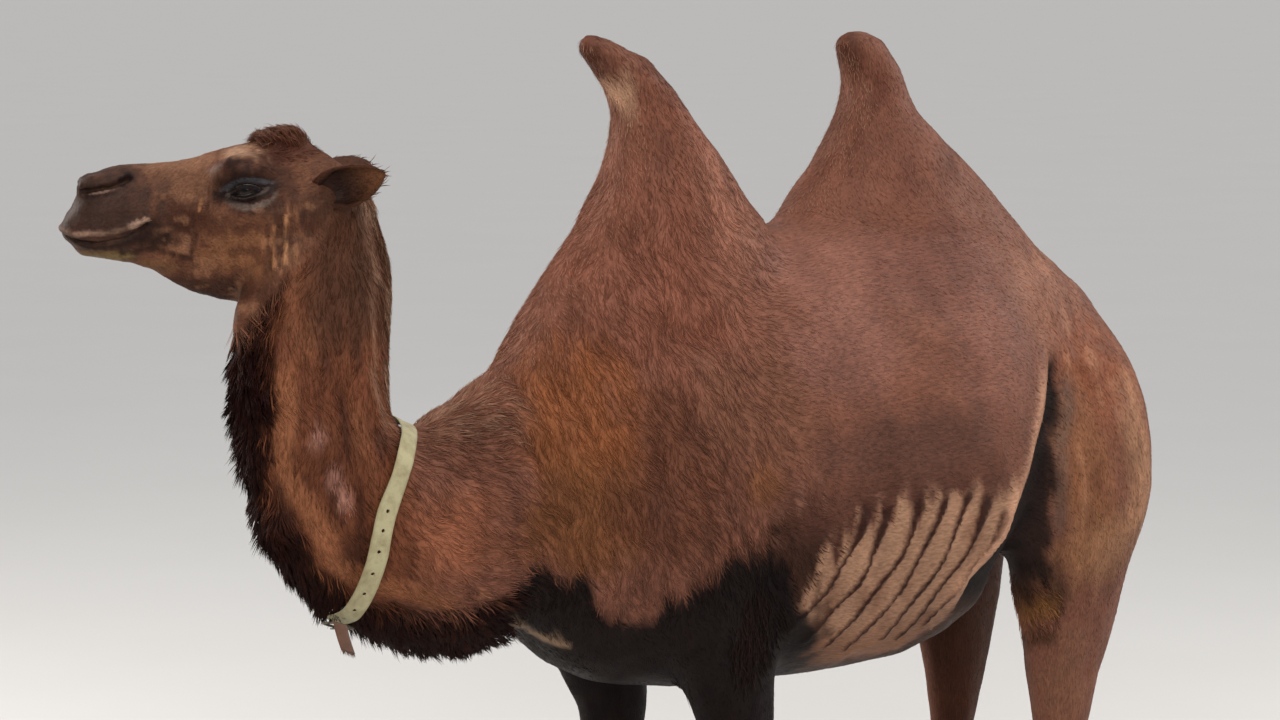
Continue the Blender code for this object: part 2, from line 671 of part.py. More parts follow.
def ring_point(tree, angle, along):
    """The coat's surface beyond a point on the collar's axis, and the way out; angle 0 is sideways."""
    frame = collar_frame()
    start = frame @ Vector((along, 0, 0))
    outward = frame.to_3x3() @ Vector((0, math.cos(angle), math.sin(angle)))
    return tree.ray_cast(start, outward)[0], outward


def strap_sway(angle):
    """How far to the rear of the collar's plane the strap runs at an angle round it."""
    return STRAP_LEAN * max(0, math.sin(angle)) ** 8 - STRAP_BOW * math.cos(angle) ** 2


def strap_line(tree, segments, finer=4):
    """For each angle round the collar, the coat's radius under both edges of the strap.

    A strap is straight across, so it also clears the coat in its middle, and it is stretched, so
    it rests on what stands out furthest within a segment on either side.
    """
    angles = np.linspace(0, 2 * math.pi, segments * finer, endpoint=False)
    offsets = (-STRAP_WIDTH / 2, 0, STRAP_WIDTH / 2)
    radii = np.empty((len(angles), 3))
    for row, angle in zip(radii, angles):
        for i, along in enumerate(offsets):
            along += strap_sway(angle)
            start = collar_frame() @ Vector((along, 0, 0))
            row[i] = (ring_point(tree, angle, along)[0] - start).length
    lift = np.maximum(0, radii[:, 1] - (radii[:, 0] + radii[:, 2]) / 2)
    edges = radii[:, (0, 2)] + lift[:, None]
    stretched = [np.roll(edges, shift, 0) * math.cos(angles[1] * shift)
                 for shift in range(-finer, finer + 1)]
    return angles[::finer], np.max(stretched, axis=0)[::finer]


def add_strap(bm, tree, segments=36):
    """The webbing round the neck, a little sunk in the coat."""
    frame = collar_frame()
    rings = []
    for angle, (front, rear) in zip(*strap_line(tree, segments)):
        corners = [(-0.5, front - STRAP_SUNK), (-0.5, front + STRAP_PROUD),
                   (0.5, rear + STRAP_PROUD), (0.5, rear - STRAP_SUNK)]
        ring = [Vector((STRAP_WIDTH * along + strap_sway(angle), radius * math.cos(angle),
                        radius * math.sin(angle))) for along, radius in corners]
        rings.append([bm.verts.new(frame @ p) for p in ring])
    for first, second in zip(rings, rings[1:] + rings[:1]):
        for i in range(4):
            j = (i + 1) % 4
            bm.faces.new((first[i], first[j], second[j], second[i]))
    bmesh.ops.triangulate(bm, faces=bm.faces)


def buckle_place(tree):
    """The buckle's frame: x across the strap, y along it to the near side, z out of the coat."""
    turn = Matrix.Rotation(BUCKLE_ANGLE - math.pi / 2, 4, "X")
    reach = 0.0
    for along in (-BUCKLE_WIDTH / 2, 0, BUCKLE_WIDTH / 2):
        for swing in (-0.2, -0.1, 0, 0.1, 0.2):
            point = ring_point(tree, BUCKLE_ANGLE + swing, along)[0]
            reach = max(reach, ((collar_frame() @ turn).inverted() @ point).z)
    height = reach + STRAP_PROUD + BUCKLE_WIRE + 2 * GAP
    return collar_frame() @ turn @ Matrix.Translation((0, 0, height))


def add_buckle(bm, place, around=16, wire=5):
    """A frame of round wire bent to a rectangle with rounded corners."""
    rings = []
    for angle in np.linspace(0, 2 * math.pi, around, endpoint=False):
        c, s = math.cos(angle), math.sin(angle)
        x = math.copysign(abs(c) ** 0.4, c) * (BUCKLE_WIDTH / 2 - BUCKLE_WIRE)
        y = math.copysign(abs(s) ** 0.4, s) * (BUCKLE_LENGTH / 2 - BUCKLE_WIRE)
        outward = Vector((c, s, 0))
        ring = []
        for turn in np.linspace(0, 2 * math.pi, wire, endpoint=False):
            offset = outward * math.cos(turn) + Vector((0, 0, 1)) * math.sin(turn)
            ring.append(bm.verts.new(place @ (Vector((x, y, 0)) + offset * BUCKLE_WIRE)))
        rings.append(ring)
    for first, second in zip(rings, rings[1:] + rings[:1]):
        for i in range(wire):
            j = (i + 1) % wire
            bm.faces.new((first[i], first[j], second[j], second[i]))


def add_tongue(bm, place):
    """The pin that lies over both ends of the buckle's frame."""
    lift = BUCKLE_WIRE + TONGUE_WIRE + GAP
    matrix = place @ Matrix.Translation((0, 0, lift)) @ Matrix.Rotation(math.pi / 2, 4, "X")
    bmesh.ops.create_cone(bm, cap_ends=True, segments=8, radius1=TONGUE_WIRE, radius2=TONGUE_WIRE,
                          depth=BUCKLE_LENGTH, matrix=matrix)


def add_strap_end(bm, place):
    """The loose end, which hangs beside the buckle with a slight curl."""
    width, thickness, length = STRAP_END
    start = (BUCKLE_LENGTH + thickness) / 2 + GAP
    rings = []
    for share, curl in ((0, 0), (0.33, 0.003), (0.66, 0.004), (1, 0.002)):
        rings.append([
            bm.verts.new(place @ Vector((x * width / 2, start + curl + y * thickness / 2,
                                         share * length)))
            for x, y in ((-1, -1), (1, -1), (1, 1), (-1, 1))
        ])
    bridge(bm, rings)


def collar(pieces, tree):
    """The collar's pieces. Only the strap is let into the coat."""
    place = buckle_place(tree)
    made = {
        "collar_strap": as_object("collar_strap", add_strap, tree),
        "collar_strap_end": as_object("collar_strap_end", add_strap_end, place),
        "collar_buckle": as_object("collar_buckle", add_buckle, place),
        "collar_buckle_tongue": as_object("collar_buckle_tongue", add_tongue, place),
    }
    make_room(pieces["neck_lower"], made["collar_strap"])
    return made


# ---------------------------------------------------------------------------
# The whole
# ---------------------------------------------------------------------------
def finished(pieces):
    """Gives each piece its material and shades its round faces smooth."""
    for name, obj in pieces.items():
        obj.data.materials.clear()
        obj.data.materials.append(finish(name))
        obj.data.shade_smooth()
        obj.data.set_sharp_from_angle(angle=math.radians(50))


def centred(pieces):
    """Hangs the pieces on one empty that brings the middle of the footprint to the origin."""
    corners = np.array([vertex.co for obj in pieces.values() for vertex in obj.data.vertices])
    low, high = corners.min(axis=0), corners.max(axis=0)
    camel = bpy.data.objects.new("camel", None)
    bpy.context.scene.collection.objects.link(camel)
    camel.location = (-(low[0] + high[0]) / 2, -(low[1] + high[1]) / 2, -low[2])
    for obj in pieces.values():
        obj.parent = camel


def main():
    clear_scene()
    body = merged_body()
    tree = BVHTree.FromObject(body, bpy.context.evaluated_depsgraph_get())
    pieces = part_body(body)
    pieces.update(add_small_parts(pieces))
    pieces.update(collar(pieces, tree))
    finished(pieces)
    centred(pieces)


main()
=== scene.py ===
"""The looks of the standing Bactrian camel: one skin, a coat of mesh tufts, eyes, nails and collar.

Everything is worked out in the camel's own frame, where X = 0 lies between the forelegs, Y = 0
is the mid-plane and the camel looks along -X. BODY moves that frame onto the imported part.
"""

import json
import math
from itertools import product

import bmesh
import bpy
import numpy as np
from mathutils import Matrix, Vector
from mathutils.bvhtree import BVHTree


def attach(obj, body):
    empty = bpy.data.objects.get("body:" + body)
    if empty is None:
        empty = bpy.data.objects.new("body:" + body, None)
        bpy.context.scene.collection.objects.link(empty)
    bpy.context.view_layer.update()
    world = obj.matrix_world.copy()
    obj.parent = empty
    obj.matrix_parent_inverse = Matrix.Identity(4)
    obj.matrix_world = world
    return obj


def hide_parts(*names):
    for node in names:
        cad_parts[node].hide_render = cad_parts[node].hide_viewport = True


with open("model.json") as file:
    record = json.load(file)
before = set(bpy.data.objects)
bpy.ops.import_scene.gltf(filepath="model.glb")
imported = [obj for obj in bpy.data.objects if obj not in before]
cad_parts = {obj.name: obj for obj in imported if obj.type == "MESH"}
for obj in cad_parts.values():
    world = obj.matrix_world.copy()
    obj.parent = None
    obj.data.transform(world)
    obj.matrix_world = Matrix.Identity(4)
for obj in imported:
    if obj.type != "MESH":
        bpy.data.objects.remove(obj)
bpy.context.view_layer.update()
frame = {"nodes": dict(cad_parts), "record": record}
MOUNTS = {mount["name"]: np.array(mount["pos_m"]) for mount in frame["record"]["mounts"]}
BODY = MOUNTS["sole_foreleg_left"] - np.array((0.047, -0.170, 0.0))
RNG = np.random.default_rng(7)

HEAD_ORIGIN = np.array((-0.742, 0.082, 1.735))
HEAD_YAW = math.radians(30)
EYE_RADIUS = 0.0205
EYE_PLACE = np.array((0.118, 0.083, 0.093))    # head frame: forward, to the side, up
EYE_LOOK = np.array((0.30, 0.93, 0.10))        # the way the left eye looks
LID_REACH, LID_RISE = 0.0222, (0.0100, 0.0086)  # half the opening's length, its height above and below
EYE_SLANT = math.radians(10)                   # how far the eye's front corner dips
LID_POWERS, LID_DROP = (1.7, 1.8), 0.001       # of the curve of the opening, and how low its middle lies
EAR_ROOT = np.array((-0.028, 0.074, 0.086))
EAR_TIP = np.array((-0.130, 0.132, 0.124))
CROWN = (0.045, 0.0, 0.185)
COLLAR_CENTRE = np.array((-0.673, 0.023, 1.222))
COLLAR_TILT = math.radians(20.5)
STRAP_BOW, STRAP_LEAN, STRAP_HALF = 0.030, 0.034, 0.0198
SKIN_VOXEL = 0.0088
SKIN_TRIANGLES = 185000
UNWRAP_TRIANGLES = 9000
COAT_TUFTS, MANE_TUFTS = 122000, 11800
PIECE_TUFTS = 19400      # the most that one piece of the coat may hold
TUFT_PATCH = 0.003       # the side of a tuft's own patch on the unwrap

# The middle line of the neck from the chest to the poll, and how far in front of it the mane starts.
NECK = np.array([
    (-0.270, 0.000, 1.235), (-0.410, 0.000, 1.190), (-0.540, 0.006, 1.175), (-0.655, 0.016, 1.225),
    (-0.735, 0.030, 1.340), (-0.753, 0.045, 1.475), (-0.740, 0.062, 1.600), (-0.722, 0.075, 1.700),
])
MANE_START = np.array([0.145, 0.142, 0.155, 0.172, 0.158, 0.136, 0.116, 0.094])
# The deep fold between flank and thigh: (x, z) of its front edge, and how wide its painted shade is along X.
GROIN = np.array([(0.915, 1.400), (0.888, 1.353), (0.852, 1.290), (0.803, 1.225), (0.757, 1.173),
                  (0.715, 1.115), (0.688, 1.060), (0.640, 1.020), (0.600, 0.980), (0.590, 0.930),
                  (0.575, 0.890), (0.540, 0.850), (0.480, 0.810)])
GROIN_WIDTH = np.array([0.006, 0.030, 0.055, 0.070, 0.110, 0.148, 0.175, 0.220, 0.250, 0.270, 0.290,
                        0.320, 0.360])


# ---------------------------------------------------------------------------
# Numbers: noise, masks and frames
# ---------------------------------------------------------------------------
def hashed(cell, seed):
    """A fixed number from 0 to 1 for each lattice cell."""
    i = cell.astype(np.int64)
    mixed = (i[..., 0] * 73856093) ^ (i[..., 1] * 19349663) ^ (i[..., 2] * 83492791)
    mixed = mixed ^ (seed * 2654435761)
    mixed = (mixed ^ (mixed >> 13)) * 1274126177
    mixed = (mixed ^ (mixed >> 16)) * 2246822519
    mixed = mixed ^ (mixed >> 15)
    return (mixed & 0xFFFFFF) / 0x1000000


def noise(p, size, seed=0):
    """Smooth noise from -1 to 1 with features of about size; size may differ along X, Y and Z."""
    q = p / np.asarray(size) + 100.0
    base = np.floor(q)
    f = q - base
    f = f * f * (3 - 2 * f)
    total = np.zeros(len(p))
    for corner in product((0, 1), repeat=3):
        weight = np.prod(np.where(corner, f, 1 - f), axis=1)
        total += weight * hashed(base + corner, seed)
    return total * 2 - 1


def clumps(p, size, seed):
    """For each point the nearest centre of a scattered set about size apart, and its own number."""
    base = np.floor(p / size)
    best = np.full(len(p), np.inf)
    centre = np.zeros_like(p)
    number = np.zeros(len(p))
    for corner in product((-1, 0, 1), repeat=3):
        cell = base + corner
        place = (cell + np.stack([hashed(cell, seed + k) for k in range(3)], axis=-1)) * size
        distance = ((place - p) ** 2).sum(axis=1)
        nearer = distance < best
        best[nearer] = distance[nearer]
        centre[nearer] = place[nearer]
        number[nearer] = hashed(cell[nearer], seed + 9)
    return centre, number


def ramp(value, low, high):
    """0 at low, 1 at high, smooth between; low may be above high."""
    t = np.clip((value - low) / (high - low), 0, 1)
    return t * t * (3 - 2 * t)


def unit(v):
    return v / np.maximum(np.linalg.norm(v, axis=-1, keepdims=True), 1e-9)


def flat(direction, normal):
    """The direction laid into the surface."""
    return unit(direction - normal * (direction * normal).sum(axis=1, keepdims=True))


def head_axes():
    turn = math.pi - HEAD_YAW
    c, s = math.cos(turn), math.sin(turn)
    return np.array([(c, -s, 0), (s, c, 0), (0, 0, 1)])


HEAD_AXES = head_axes()


def to_head(p):
    return (p - HEAD_ORIGIN) @ HEAD_AXES


def from_head(h):
    return h @ HEAD_AXES.T + HEAD_ORIGIN


def near_line(p, line):
    """Distance to a polyline of any dimension, and the place along it from 0 to 1."""
    best = np.full(len(p), np.inf)
    along = np.zeros(len(p))
    spans = len(line) - 1
    for i in range(spans):
        start, step = line[i], line[i + 1] - line[i]
        t = np.clip(((p - start) @ step) / (step @ step), 0, 1)
        distance = np.linalg.norm(p - start - t[:, None] * step, axis=1)
        nearer = distance < best
        best[nearer] = distance[nearer]
        along[nearer] = (i + t[nearer]) / spans
    return best, along


def on_neck(p):
    """(place along the neck 0..1, way down the neck, way to its front, the offset from its middle)."""
    _, along = near_line(p, NECK)
    at = along * (len(NECK) - 1)
    i = np.minimum(at.astype(int), len(NECK) - 2)
    t = (at - i)[:, None]
    middle = NECK[i] * (1 - t) + NECK[i + 1] * t
    tangents = unit(-np.gradient(NECK, axis=0))
    down = unit(tangents[i] * (1 - t) + tangents[i + 1] * t)
    front = unit(np.stack([-np.abs(down[:, 2]) - 1e-6, np.zeros(len(p)), -np.abs(down[:, 0])], axis=1))
    return along, down, front, p - middle


def is_head(p):
    """1 on the head, 0 on the neck and the rest, by the slanting plane behind the jaw."""
    h = to_head(p)
    behind = -0.752 * (h[:, 0] - 0.015) - 0.658 * (h[:, 2] + 0.020)
    return ramp(behind, 0.018, -0.018) * ramp(p[:, 0], -0.52, -0.60)


def is_neck(p):
    return ramp(p[:, 0], -0.33, -0.47) * (1 - is_head(p)) * ramp(p[:, 2], 0.80, 0.90)


def is_mane(p):
    """The dark beard of long hair down the front of the neck and under it to the chest."""
    along, _, front, offset = on_neck(p)
    start = np.interp(along, np.linspace(0, 1, len(NECK)), MANE_START)
    ahead = (offset * front).sum(axis=1)
    edge = 0.012 * noise(p, 0.05, 3) + 0.008 * noise(p, 0.018, 4)
    band = ramp(ahead - start + edge, -0.010, 0.012)
    return band * ramp(p[:, 0], -0.36, -0.43) * (1 - is_head(p))


def is_leg(p):
    return ramp(p[:, 2], 0.86, 0.72) * ramp(p[:, 0], -0.45, -0.35)


def flank_side(p):
    """The point folded to the camel's left, where the folds and markings are told."""
    return np.stack([p[:, 0], np.abs(p[:, 1]), p[:, 2]], axis=1)


# ---------------------------------------------------------------------------
# Markings: one function colours both skin and coat
# ---------------------------------------------------------------------------
def tone(red, green, blue):
    """A display colour, 0 to 255, as a linear one."""
    c = np.array((red, green, blue)) / 255
    return np.where(c <= 0.04045, c / 12.92, ((c + 0.055) / 1.055) ** 2.4)


def spot(p, centre, radii, ragged=0.24, grain=0.07, seed=11, soft=0.40):
    """A soft patch round a centre, its edge torn along the hair."""
    d = np.linalg.norm((p - np.array(centre)) / np.array(radii), axis=1)
    tear = noise(p, grain, seed) + 0.8 * noise(p, (0.28 * grain, 0.28 * grain, grain), seed + 300)
    return ramp(d + ragged * tear, 0.85 + soft, 0.85 - soft)


# (centre, radii, colour, strength) on the body; the y is that of either side.
PATCHES = (
    ((-0.10, 0.16, 1.70), (0.30, 0.30, 0.30), tone(127, 80, 64), 0.8),    # front hump
    # Painted sheen: the paler rear slope of the front hump.
    ((0.09, 0.15, 1.72), (0.09, 0.20, 0.20), tone(150, 103, 86), 0.7),     # its rear slope
    ((-0.105, 0.05, 1.955), (0.034, 0.10, 0.085), tone(196, 158, 132), 0.85),  # near its tip
    ((-0.28, 0.15, 1.39), (0.15, 0.14, 0.16), tone(134, 80, 46), 0.85),   # golden shoulder
    ((-0.29, 0.18, 1.20), (0.13, 0.14, 0.14), tone(114, 72, 42), 0.8),
    ((-0.11, 0.25, 1.25), (0.15, 0.16, 0.20), tone(94, 57, 41), 0.85),
    ((0.08, 0.27, 1.36), (0.15, 0.16, 0.15), tone(116, 78, 62), 0.7),
    ((-0.50, 0.10, 1.37), (0.13, 0.14, 0.12), tone(96, 60, 46), 0.8),     # withers
    ((-0.56, 0.13, 1.17), (0.13, 0.12, 0.09), tone(146, 92, 68), 0.85),   # side of the chest
    ((0.34, 0.19, 1.63), (0.24, 0.20, 0.10), tone(122, 82, 70), 0.85),    # saddle
    ((0.64, 0.24, 1.61), (0.20, 0.20, 0.12), tone(104, 66, 56), 0.8),
    ((0.96, 0.20, 1.53), (0.16, 0.16, 0.10), tone(138, 94, 76), 0.8),
    ((0.31, 0.28, 1.47), (0.16, 0.16, 0.10), tone(124, 86, 76), 0.7),
    ((0.70, 0.32, 1.43), (0.16, 0.16, 0.16), tone(127, 86, 74), 0.75),
    ((0.42, 0.34, 1.28), (0.27, 0.18, 0.095), tone(90, 60, 51), 0.95),    # dark band over the belly
    ((0.60, 0.06, 1.85), (0.20, 0.25, 0.22), tone(112, 71, 57), 0.8),     # rear hump
    ((1.10, 0.24, 1.36), (0.14, 0.16, 0.15), tone(120, 68, 44), 0.9),     # rump
    # Painted highlight: the paler rear edge of the thigh, on the side that faces the light.
    ((1.16, 0.28, 1.15), (0.07, 0.22, 0.20), tone(172, 130, 100), 0.75),   # rear edge of the thigh
    ((0.98, 0.31, 1.15), (0.09, 0.14, 0.22), tone(128, 86, 60), 0.85),    # thigh
    ((1.05, 0.31, 0.99), (0.13, 0.14, 0.09), tone(136, 98, 72), 0.8),
    ((0.08, 0.29, 1.225), (0.040, 0.08, 0.045), tone(124, 80, 50), 0.6),  # golden lock behind the arm
)
LIMB_PATCHES = (
    ((0.875, 0.25, 0.955), (0.060, 0.10, 0.045), tone(32, 19, 13), 1.0),    # woolly stifle
    ((0.935, 0.25, 0.905), (0.040, 0.10, 0.050), tone(56, 36, 25), 0.85),
    ((0.900, 0.24, 0.865), (0.034, 0.09, 0.040), tone(122, 84, 48), 0.80),
    ((0.930, 0.24, 0.800), (0.030, 0.09, 0.035), tone(64, 42, 28), 0.80),
    ((0.995, 0.24, 0.70), (0.07, 0.09, 0.12), tone(122, 86, 68), 0.6),    # gaskin
)
# The same on the head, in the head's frame.
HEAD_PATCHES = (
    ((0.22, 0.06, 0.10), (0.075, 0.07, 0.060), tone(106, 74, 57), 0.9),   # middle of the face
    ((0.130, 0.07, -0.020), (0.085, 0.09, 0.048), tone(122, 82, 57), 0.85),    # jaw
    # Painted shade: the jaw's underside faces down, away from the light.
    ((0.170, 0.03, -0.098), (0.120, 0.12, 0.034), tone(52, 31, 22), 0.85),     # and its dark underside
    ((0.232, 0.06, 0.040), (0.050, 0.06, 0.030), tone(56, 31, 22), 0.90),  # cheek
    ((0.262, 0.06, 0.060), (0.026, 0.05, 0.022), tone(70, 42, 31), 0.8),
    ((0.180, 0.07, 0.030), (0.034, 0.05, 0.024), tone(80, 48, 34), 0.7),
    ((0.242, 0.056, -0.004), (0.024, 0.05, 0.017), tone(126, 90, 70), 0.65),
    # Painted highlight: the pale brow faces up into the light.
    ((0.115, 0.05, 0.165), (0.055, 0.05, 0.026), tone(162, 130, 108), 0.85),   # brow
    ((0.26, 0.02, 0.145), (0.11, 0.05, 0.022), tone(128, 94, 74), 0.7),   # bridge of the nose
    ((0.385, 0.03, 0.06), (0.130, 0.10, 0.10), tone(60, 41, 34), 1.0),    # muzzle
    ((0.385, 0.03, -0.032), (0.062, 0.06, 0.014), tone(124, 104, 68), 0.8),    # chin
    ((0.30, 0.04, -0.055), (0.07, 0.05, 0.018), tone(112, 80, 52), 0.7),
    # Painted shade in the corner of the mouth.
    ((0.290, 0.055, 0.010), (0.046, 0.05, 0.038), tone(34, 19, 14), 0.9),     # corner of the mouth
    ((0.120, 0.09, 0.106), (0.080, 0.07, 0.062), tone(38, 20, 15), 1.0),  # round the eye
    ((0.060, 0.085, 0.105), (0.040, 0.05, 0.045), tone(62, 36, 26), 0.7),
    ((0.050, 0.03, 0.180), (0.066, 0.09, 0.052), tone(70, 36, 25), 0.95),  # forelock
    ((0.055, 0.09, 0.00), (0.045, 0.06, 0.080), tone(92, 60, 42), 0.7),   # behind the cheek
    ((-0.02, 0.09, 0.05), (0.045, 0.05, 0.070), tone(58, 35, 25), 0.8),   # under the ear
)
# The folds of the bare belly: (x, z) of each at its top and its foot.
BELLY_FOLDS = (
    ((0.296, 1.135), (0.175, 0.921)), ((0.346, 1.130), (0.231, 0.894)), ((0.424, 1.145), (0.292, 0.880)),
    ((0.500, 1.185), (0.350, 0.866)), ((0.552, 1.160), (0.425, 0.880)), ((0.597, 1.120), (0.473, 0.873)),
    ((0.652, 1.090), (0.524, 0.900)),
)


def belly_lines(q):
    """How near q, on a folded flank, is to one of the folds that cross the bare belly; 1 on it."""
    found = np.zeros(len(q))
    plane = q[:, (0, 2)]
    t = np.linspace(0, 1, 12)
    for i, (top, foot) in enumerate(BELLY_FOLDS):
        line = np.outer(1.10 - 1.14 * t, top) + np.outer(1.14 * t - 0.10, foot)
        bend = 0.012 * np.sin(3.1 * t + 0.4 * i) + 0.006 * np.sin(11.0 * t + 2.1 * i)
        line[:, 0] += bend * np.sin(3.14 * t)
        distance, along = near_line(plane, line)
        width = 0.0056 * (1.1 - 0.3 * along + 1.5 * ramp(along, 0.30, 0.0))
        width *= 1 + 0.40 * noise(q, 0.03, 40 + i)
        found = np.maximum(found, ramp(distance, 1.5 * width, 0.7 * width))
    return found


def bare_belly(q):
    """The bare skin of the belly and lower flank, in front of the thigh."""
    ragged = 0.030 * noise(q, 0.06, 21) + 0.060 * noise(q, (0.016, 0.05, 0.12), 22)
    top = np.interp(q[:, 0], (0.13, 0.20, 0.30, 0.42, 0.50, 0.60, 0.66, 0.72, 0.80),
                    (0.93, 1.03, 1.125, 1.14, 1.185, 1.165, 1.15, 1.12, 1.00))
    return (ramp(q[:, 2] + ragged, top + 0.026, top - 0.016) * ramp(q[:, 0] + 0.5 * ragged, 0.15, 0.20)
            * ramp(groin_side(q) + 0.4 * ragged * ramp(q[:, 2], 1.0, 0.94), 0.0, -0.010)
            * ramp(q[:, 2] + 0.5 * ragged, 0.795, 0.835))


def dark_under(q, above=0.0):
    """1 on the nearly black chest, elbows and upper forelegs, and as far above them as asked."""
    top = np.interp(q[:, 0], (-0.50, -0.44, -0.38, -0.28, -0.22, -0.15, -0.08, 0.00, 0.08, 0.13, 0.20, 0.30),
                    (0.99, 1.05, 1.085, 1.075, 1.00, 0.98, 1.05, 1.09, 1.12, 1.06, 0.96, 0.80))
    ragged = 0.026 * noise(q, 0.06, 33) + 0.030 * noise(q, (0.016, 0.02, 0.06), 36)
    return (ramp(q[:, 2] - above + ragged, top + 0.018, top - 0.028) * ramp(q[:, 0], 0.36, 0.26)
            * ramp(q[:, 0], -0.50, -0.44))


def groin_side(q):
    """How far q lies behind the front edge of the fold between flank and thigh, less than 0 in front."""
    return q[:, 0] - np.interp(q[:, 2], GROIN[::-1, 1], GROIN[::-1, 0])


def groin_width(q):
    """How wide the painted shade of that fold is along X."""
    return 0.034 + np.interp(q[:, 2], GROIN[::-1, 1], GROIN_WIDTH[::-1])


def groin_shade(q):
    """1 in the painted shade of the fold between flank and thigh, with a crisp front edge and a soft rear
    one.
    """
    behind = groin_side(q)
    width = groin_width(q)
    torn = 0.016 * noise(q, (0.03, 0.05, 0.06), 39) + 0.010 * noise(q, (0.010, 0.02, 0.05), 38)
    inside = ramp(behind, -0.004, 0.003) * ramp(behind + torn, width + 0.012, width - 0.020)
    return inside * ramp(q[:, 2], 1.42, 1.38) * ramp(q[:, 2], 0.76, 0.84)


def markings(p):
    """Linear colour of hide and hair at each point."""
    colour = np.tile(tone(116, 76, 62), (len(p), 1))

    def blend(target, weight):
        nonlocal colour
        colour = colour + (target - colour) * np.clip(weight, 0, 1)[:, None]

    mark_humps_and_thighs(blend, p)
    mark_belly(blend, p)
    mark_legs_and_chest(blend, p)
    mark_neck(blend, p)
    mark_head(blend, p)
    shade = 1 + 0.12 * noise(p, 0.075, 41) + 0.10 * noise(p, 0.024, 42) + 0.07 * noise(p, 0.011, 43)
    shade += 0.14 * noise(p, (0.018, 0.018, 0.07), 44) * ramp(p[:, 0], 0.35, 0.10)
    shade += 0.10 * noise(p, (0.05, 0.05, 0.20), 55) * ramp(p[:, 2], 1.0, 1.1)
    warm = np.array((1.01, 0.945, 0.88))
    return np.clip(colour * shade[:, None] * warm, 0.0008, 1)


def mark_humps_and_thighs(blend, p):
    """The broad patches of the body, dark streaks on the humps, and the combed backs of the thighs."""
    q = flank_side(p)
    for k, (centre, radii, target, strength) in enumerate(PATCHES):
        blend(target, strength * spot(q, centre, radii, seed=50 + k))
    humps = ramp(p[:, 2], 1.72, 1.80)
    blend(tone(82, 44, 32), 0.45 * humps * ramp(noise(p, (0.030, 0.030, 0.15), 31), 0.10, 0.55))
    # Painted shade: at the tops of the humps the front faces are darkened.
    ahead_tip = np.interp(p[:, 2], (1.90, 1.98, 2.05, 2.10), (-0.060, -0.085, -0.150, -0.175))
    behind_tip = np.interp(p[:, 2], (1.90, 1.98, 2.05, 2.10), (0.575, 0.600, 0.585, 0.590))
    rear = p[:, 0] > 0.35
    from_front = p[:, 0] - np.where(rear, behind_tip, ahead_tip)
    blend(tone(74, 40, 28), 0.65 * ramp(p[:, 2], 1.99, 2.05)
          * ramp(from_front + 0.01 * noise(p, 0.03, 32), 0.022, -0.006))
    blend(tone(82, 46, 32), 0.6 * ramp(p[:, 2], 2.090, 2.104))
    behind = ramp(p[:, 0], 0.84, 0.96) * ramp(p[:, 2], 0.70, 0.95)
    combed = noise(p, (0.022, 0.022, 0.10), 59) + 0.5 * noise(p, (0.009, 0.009, 0.05), 63)
    blend(tone(96, 58, 42), behind * ramp(combed, 0.15, 0.70) * 0.50)
    blend(tone(166, 122, 94), behind * ramp(combed, -0.20, -0.80) * 0.40)


def mark_belly(blend, p):
    """The bare belly with its folds, and over it dark hair with pale streaks, darkest behind the elbow."""
    q = flank_side(p)
    bare = bare_belly(q)
    streaks = noise(q, (0.012, 0.05, 0.10), 45)
    near = ramp(q[:, 2], 1.26, 1.18) * ramp(q[:, 0], 0.72, 0.62) * ramp(q[:, 0], 0.08, 0.15)
    blend(tone(74, 46, 38), near * 0.75 * (1 - bare))
    blend(tone(128, 92, 78), near * ramp(streaks, 0.30, 0.62) * 0.7 * (1 - bare))
    front = ramp(q[:, 0], 0.30, 0.18) * ramp(q[:, 0], 0.08, 0.13) * ramp(q[:, 2], 1.17, 1.08)
    blend(tone(48, 29, 21), front * 0.9 * (1 - bare))
    blend(tone(152, 118, 97), bare)
    blend(tone(118, 82, 65), bare * ramp(noise(q, (0.02, 0.05, 0.09), 46), 0.1, 0.6) * 0.5)
    blend(tone(124, 86, 64), bare * ramp(q[:, 2], 0.93, 0.84) * 0.8)
    blend(tone(52, 27, 20), np.maximum(bare, ramp(q[:, 2], 1.20, 1.15)) * belly_lines(q))
    blend(tone(58, 38, 26), ramp(q[:, 2], 0.835, 0.795) * ramp(q[:, 0], 0.14, 0.2)
          * ramp(q[:, 0], 0.70, 0.60) * 0.9)
    rim = np.exp(-((groin_side(q) + 0.024 + 0.006 * noise(q, 0.04, 61)) / 0.024) ** 2)
    rim *= ramp(q[:, 2], 1.42, 1.34) * ramp(q[:, 2], 0.90, 1.0)
    blend(tone(186, 143, 119), rim * 0.80)


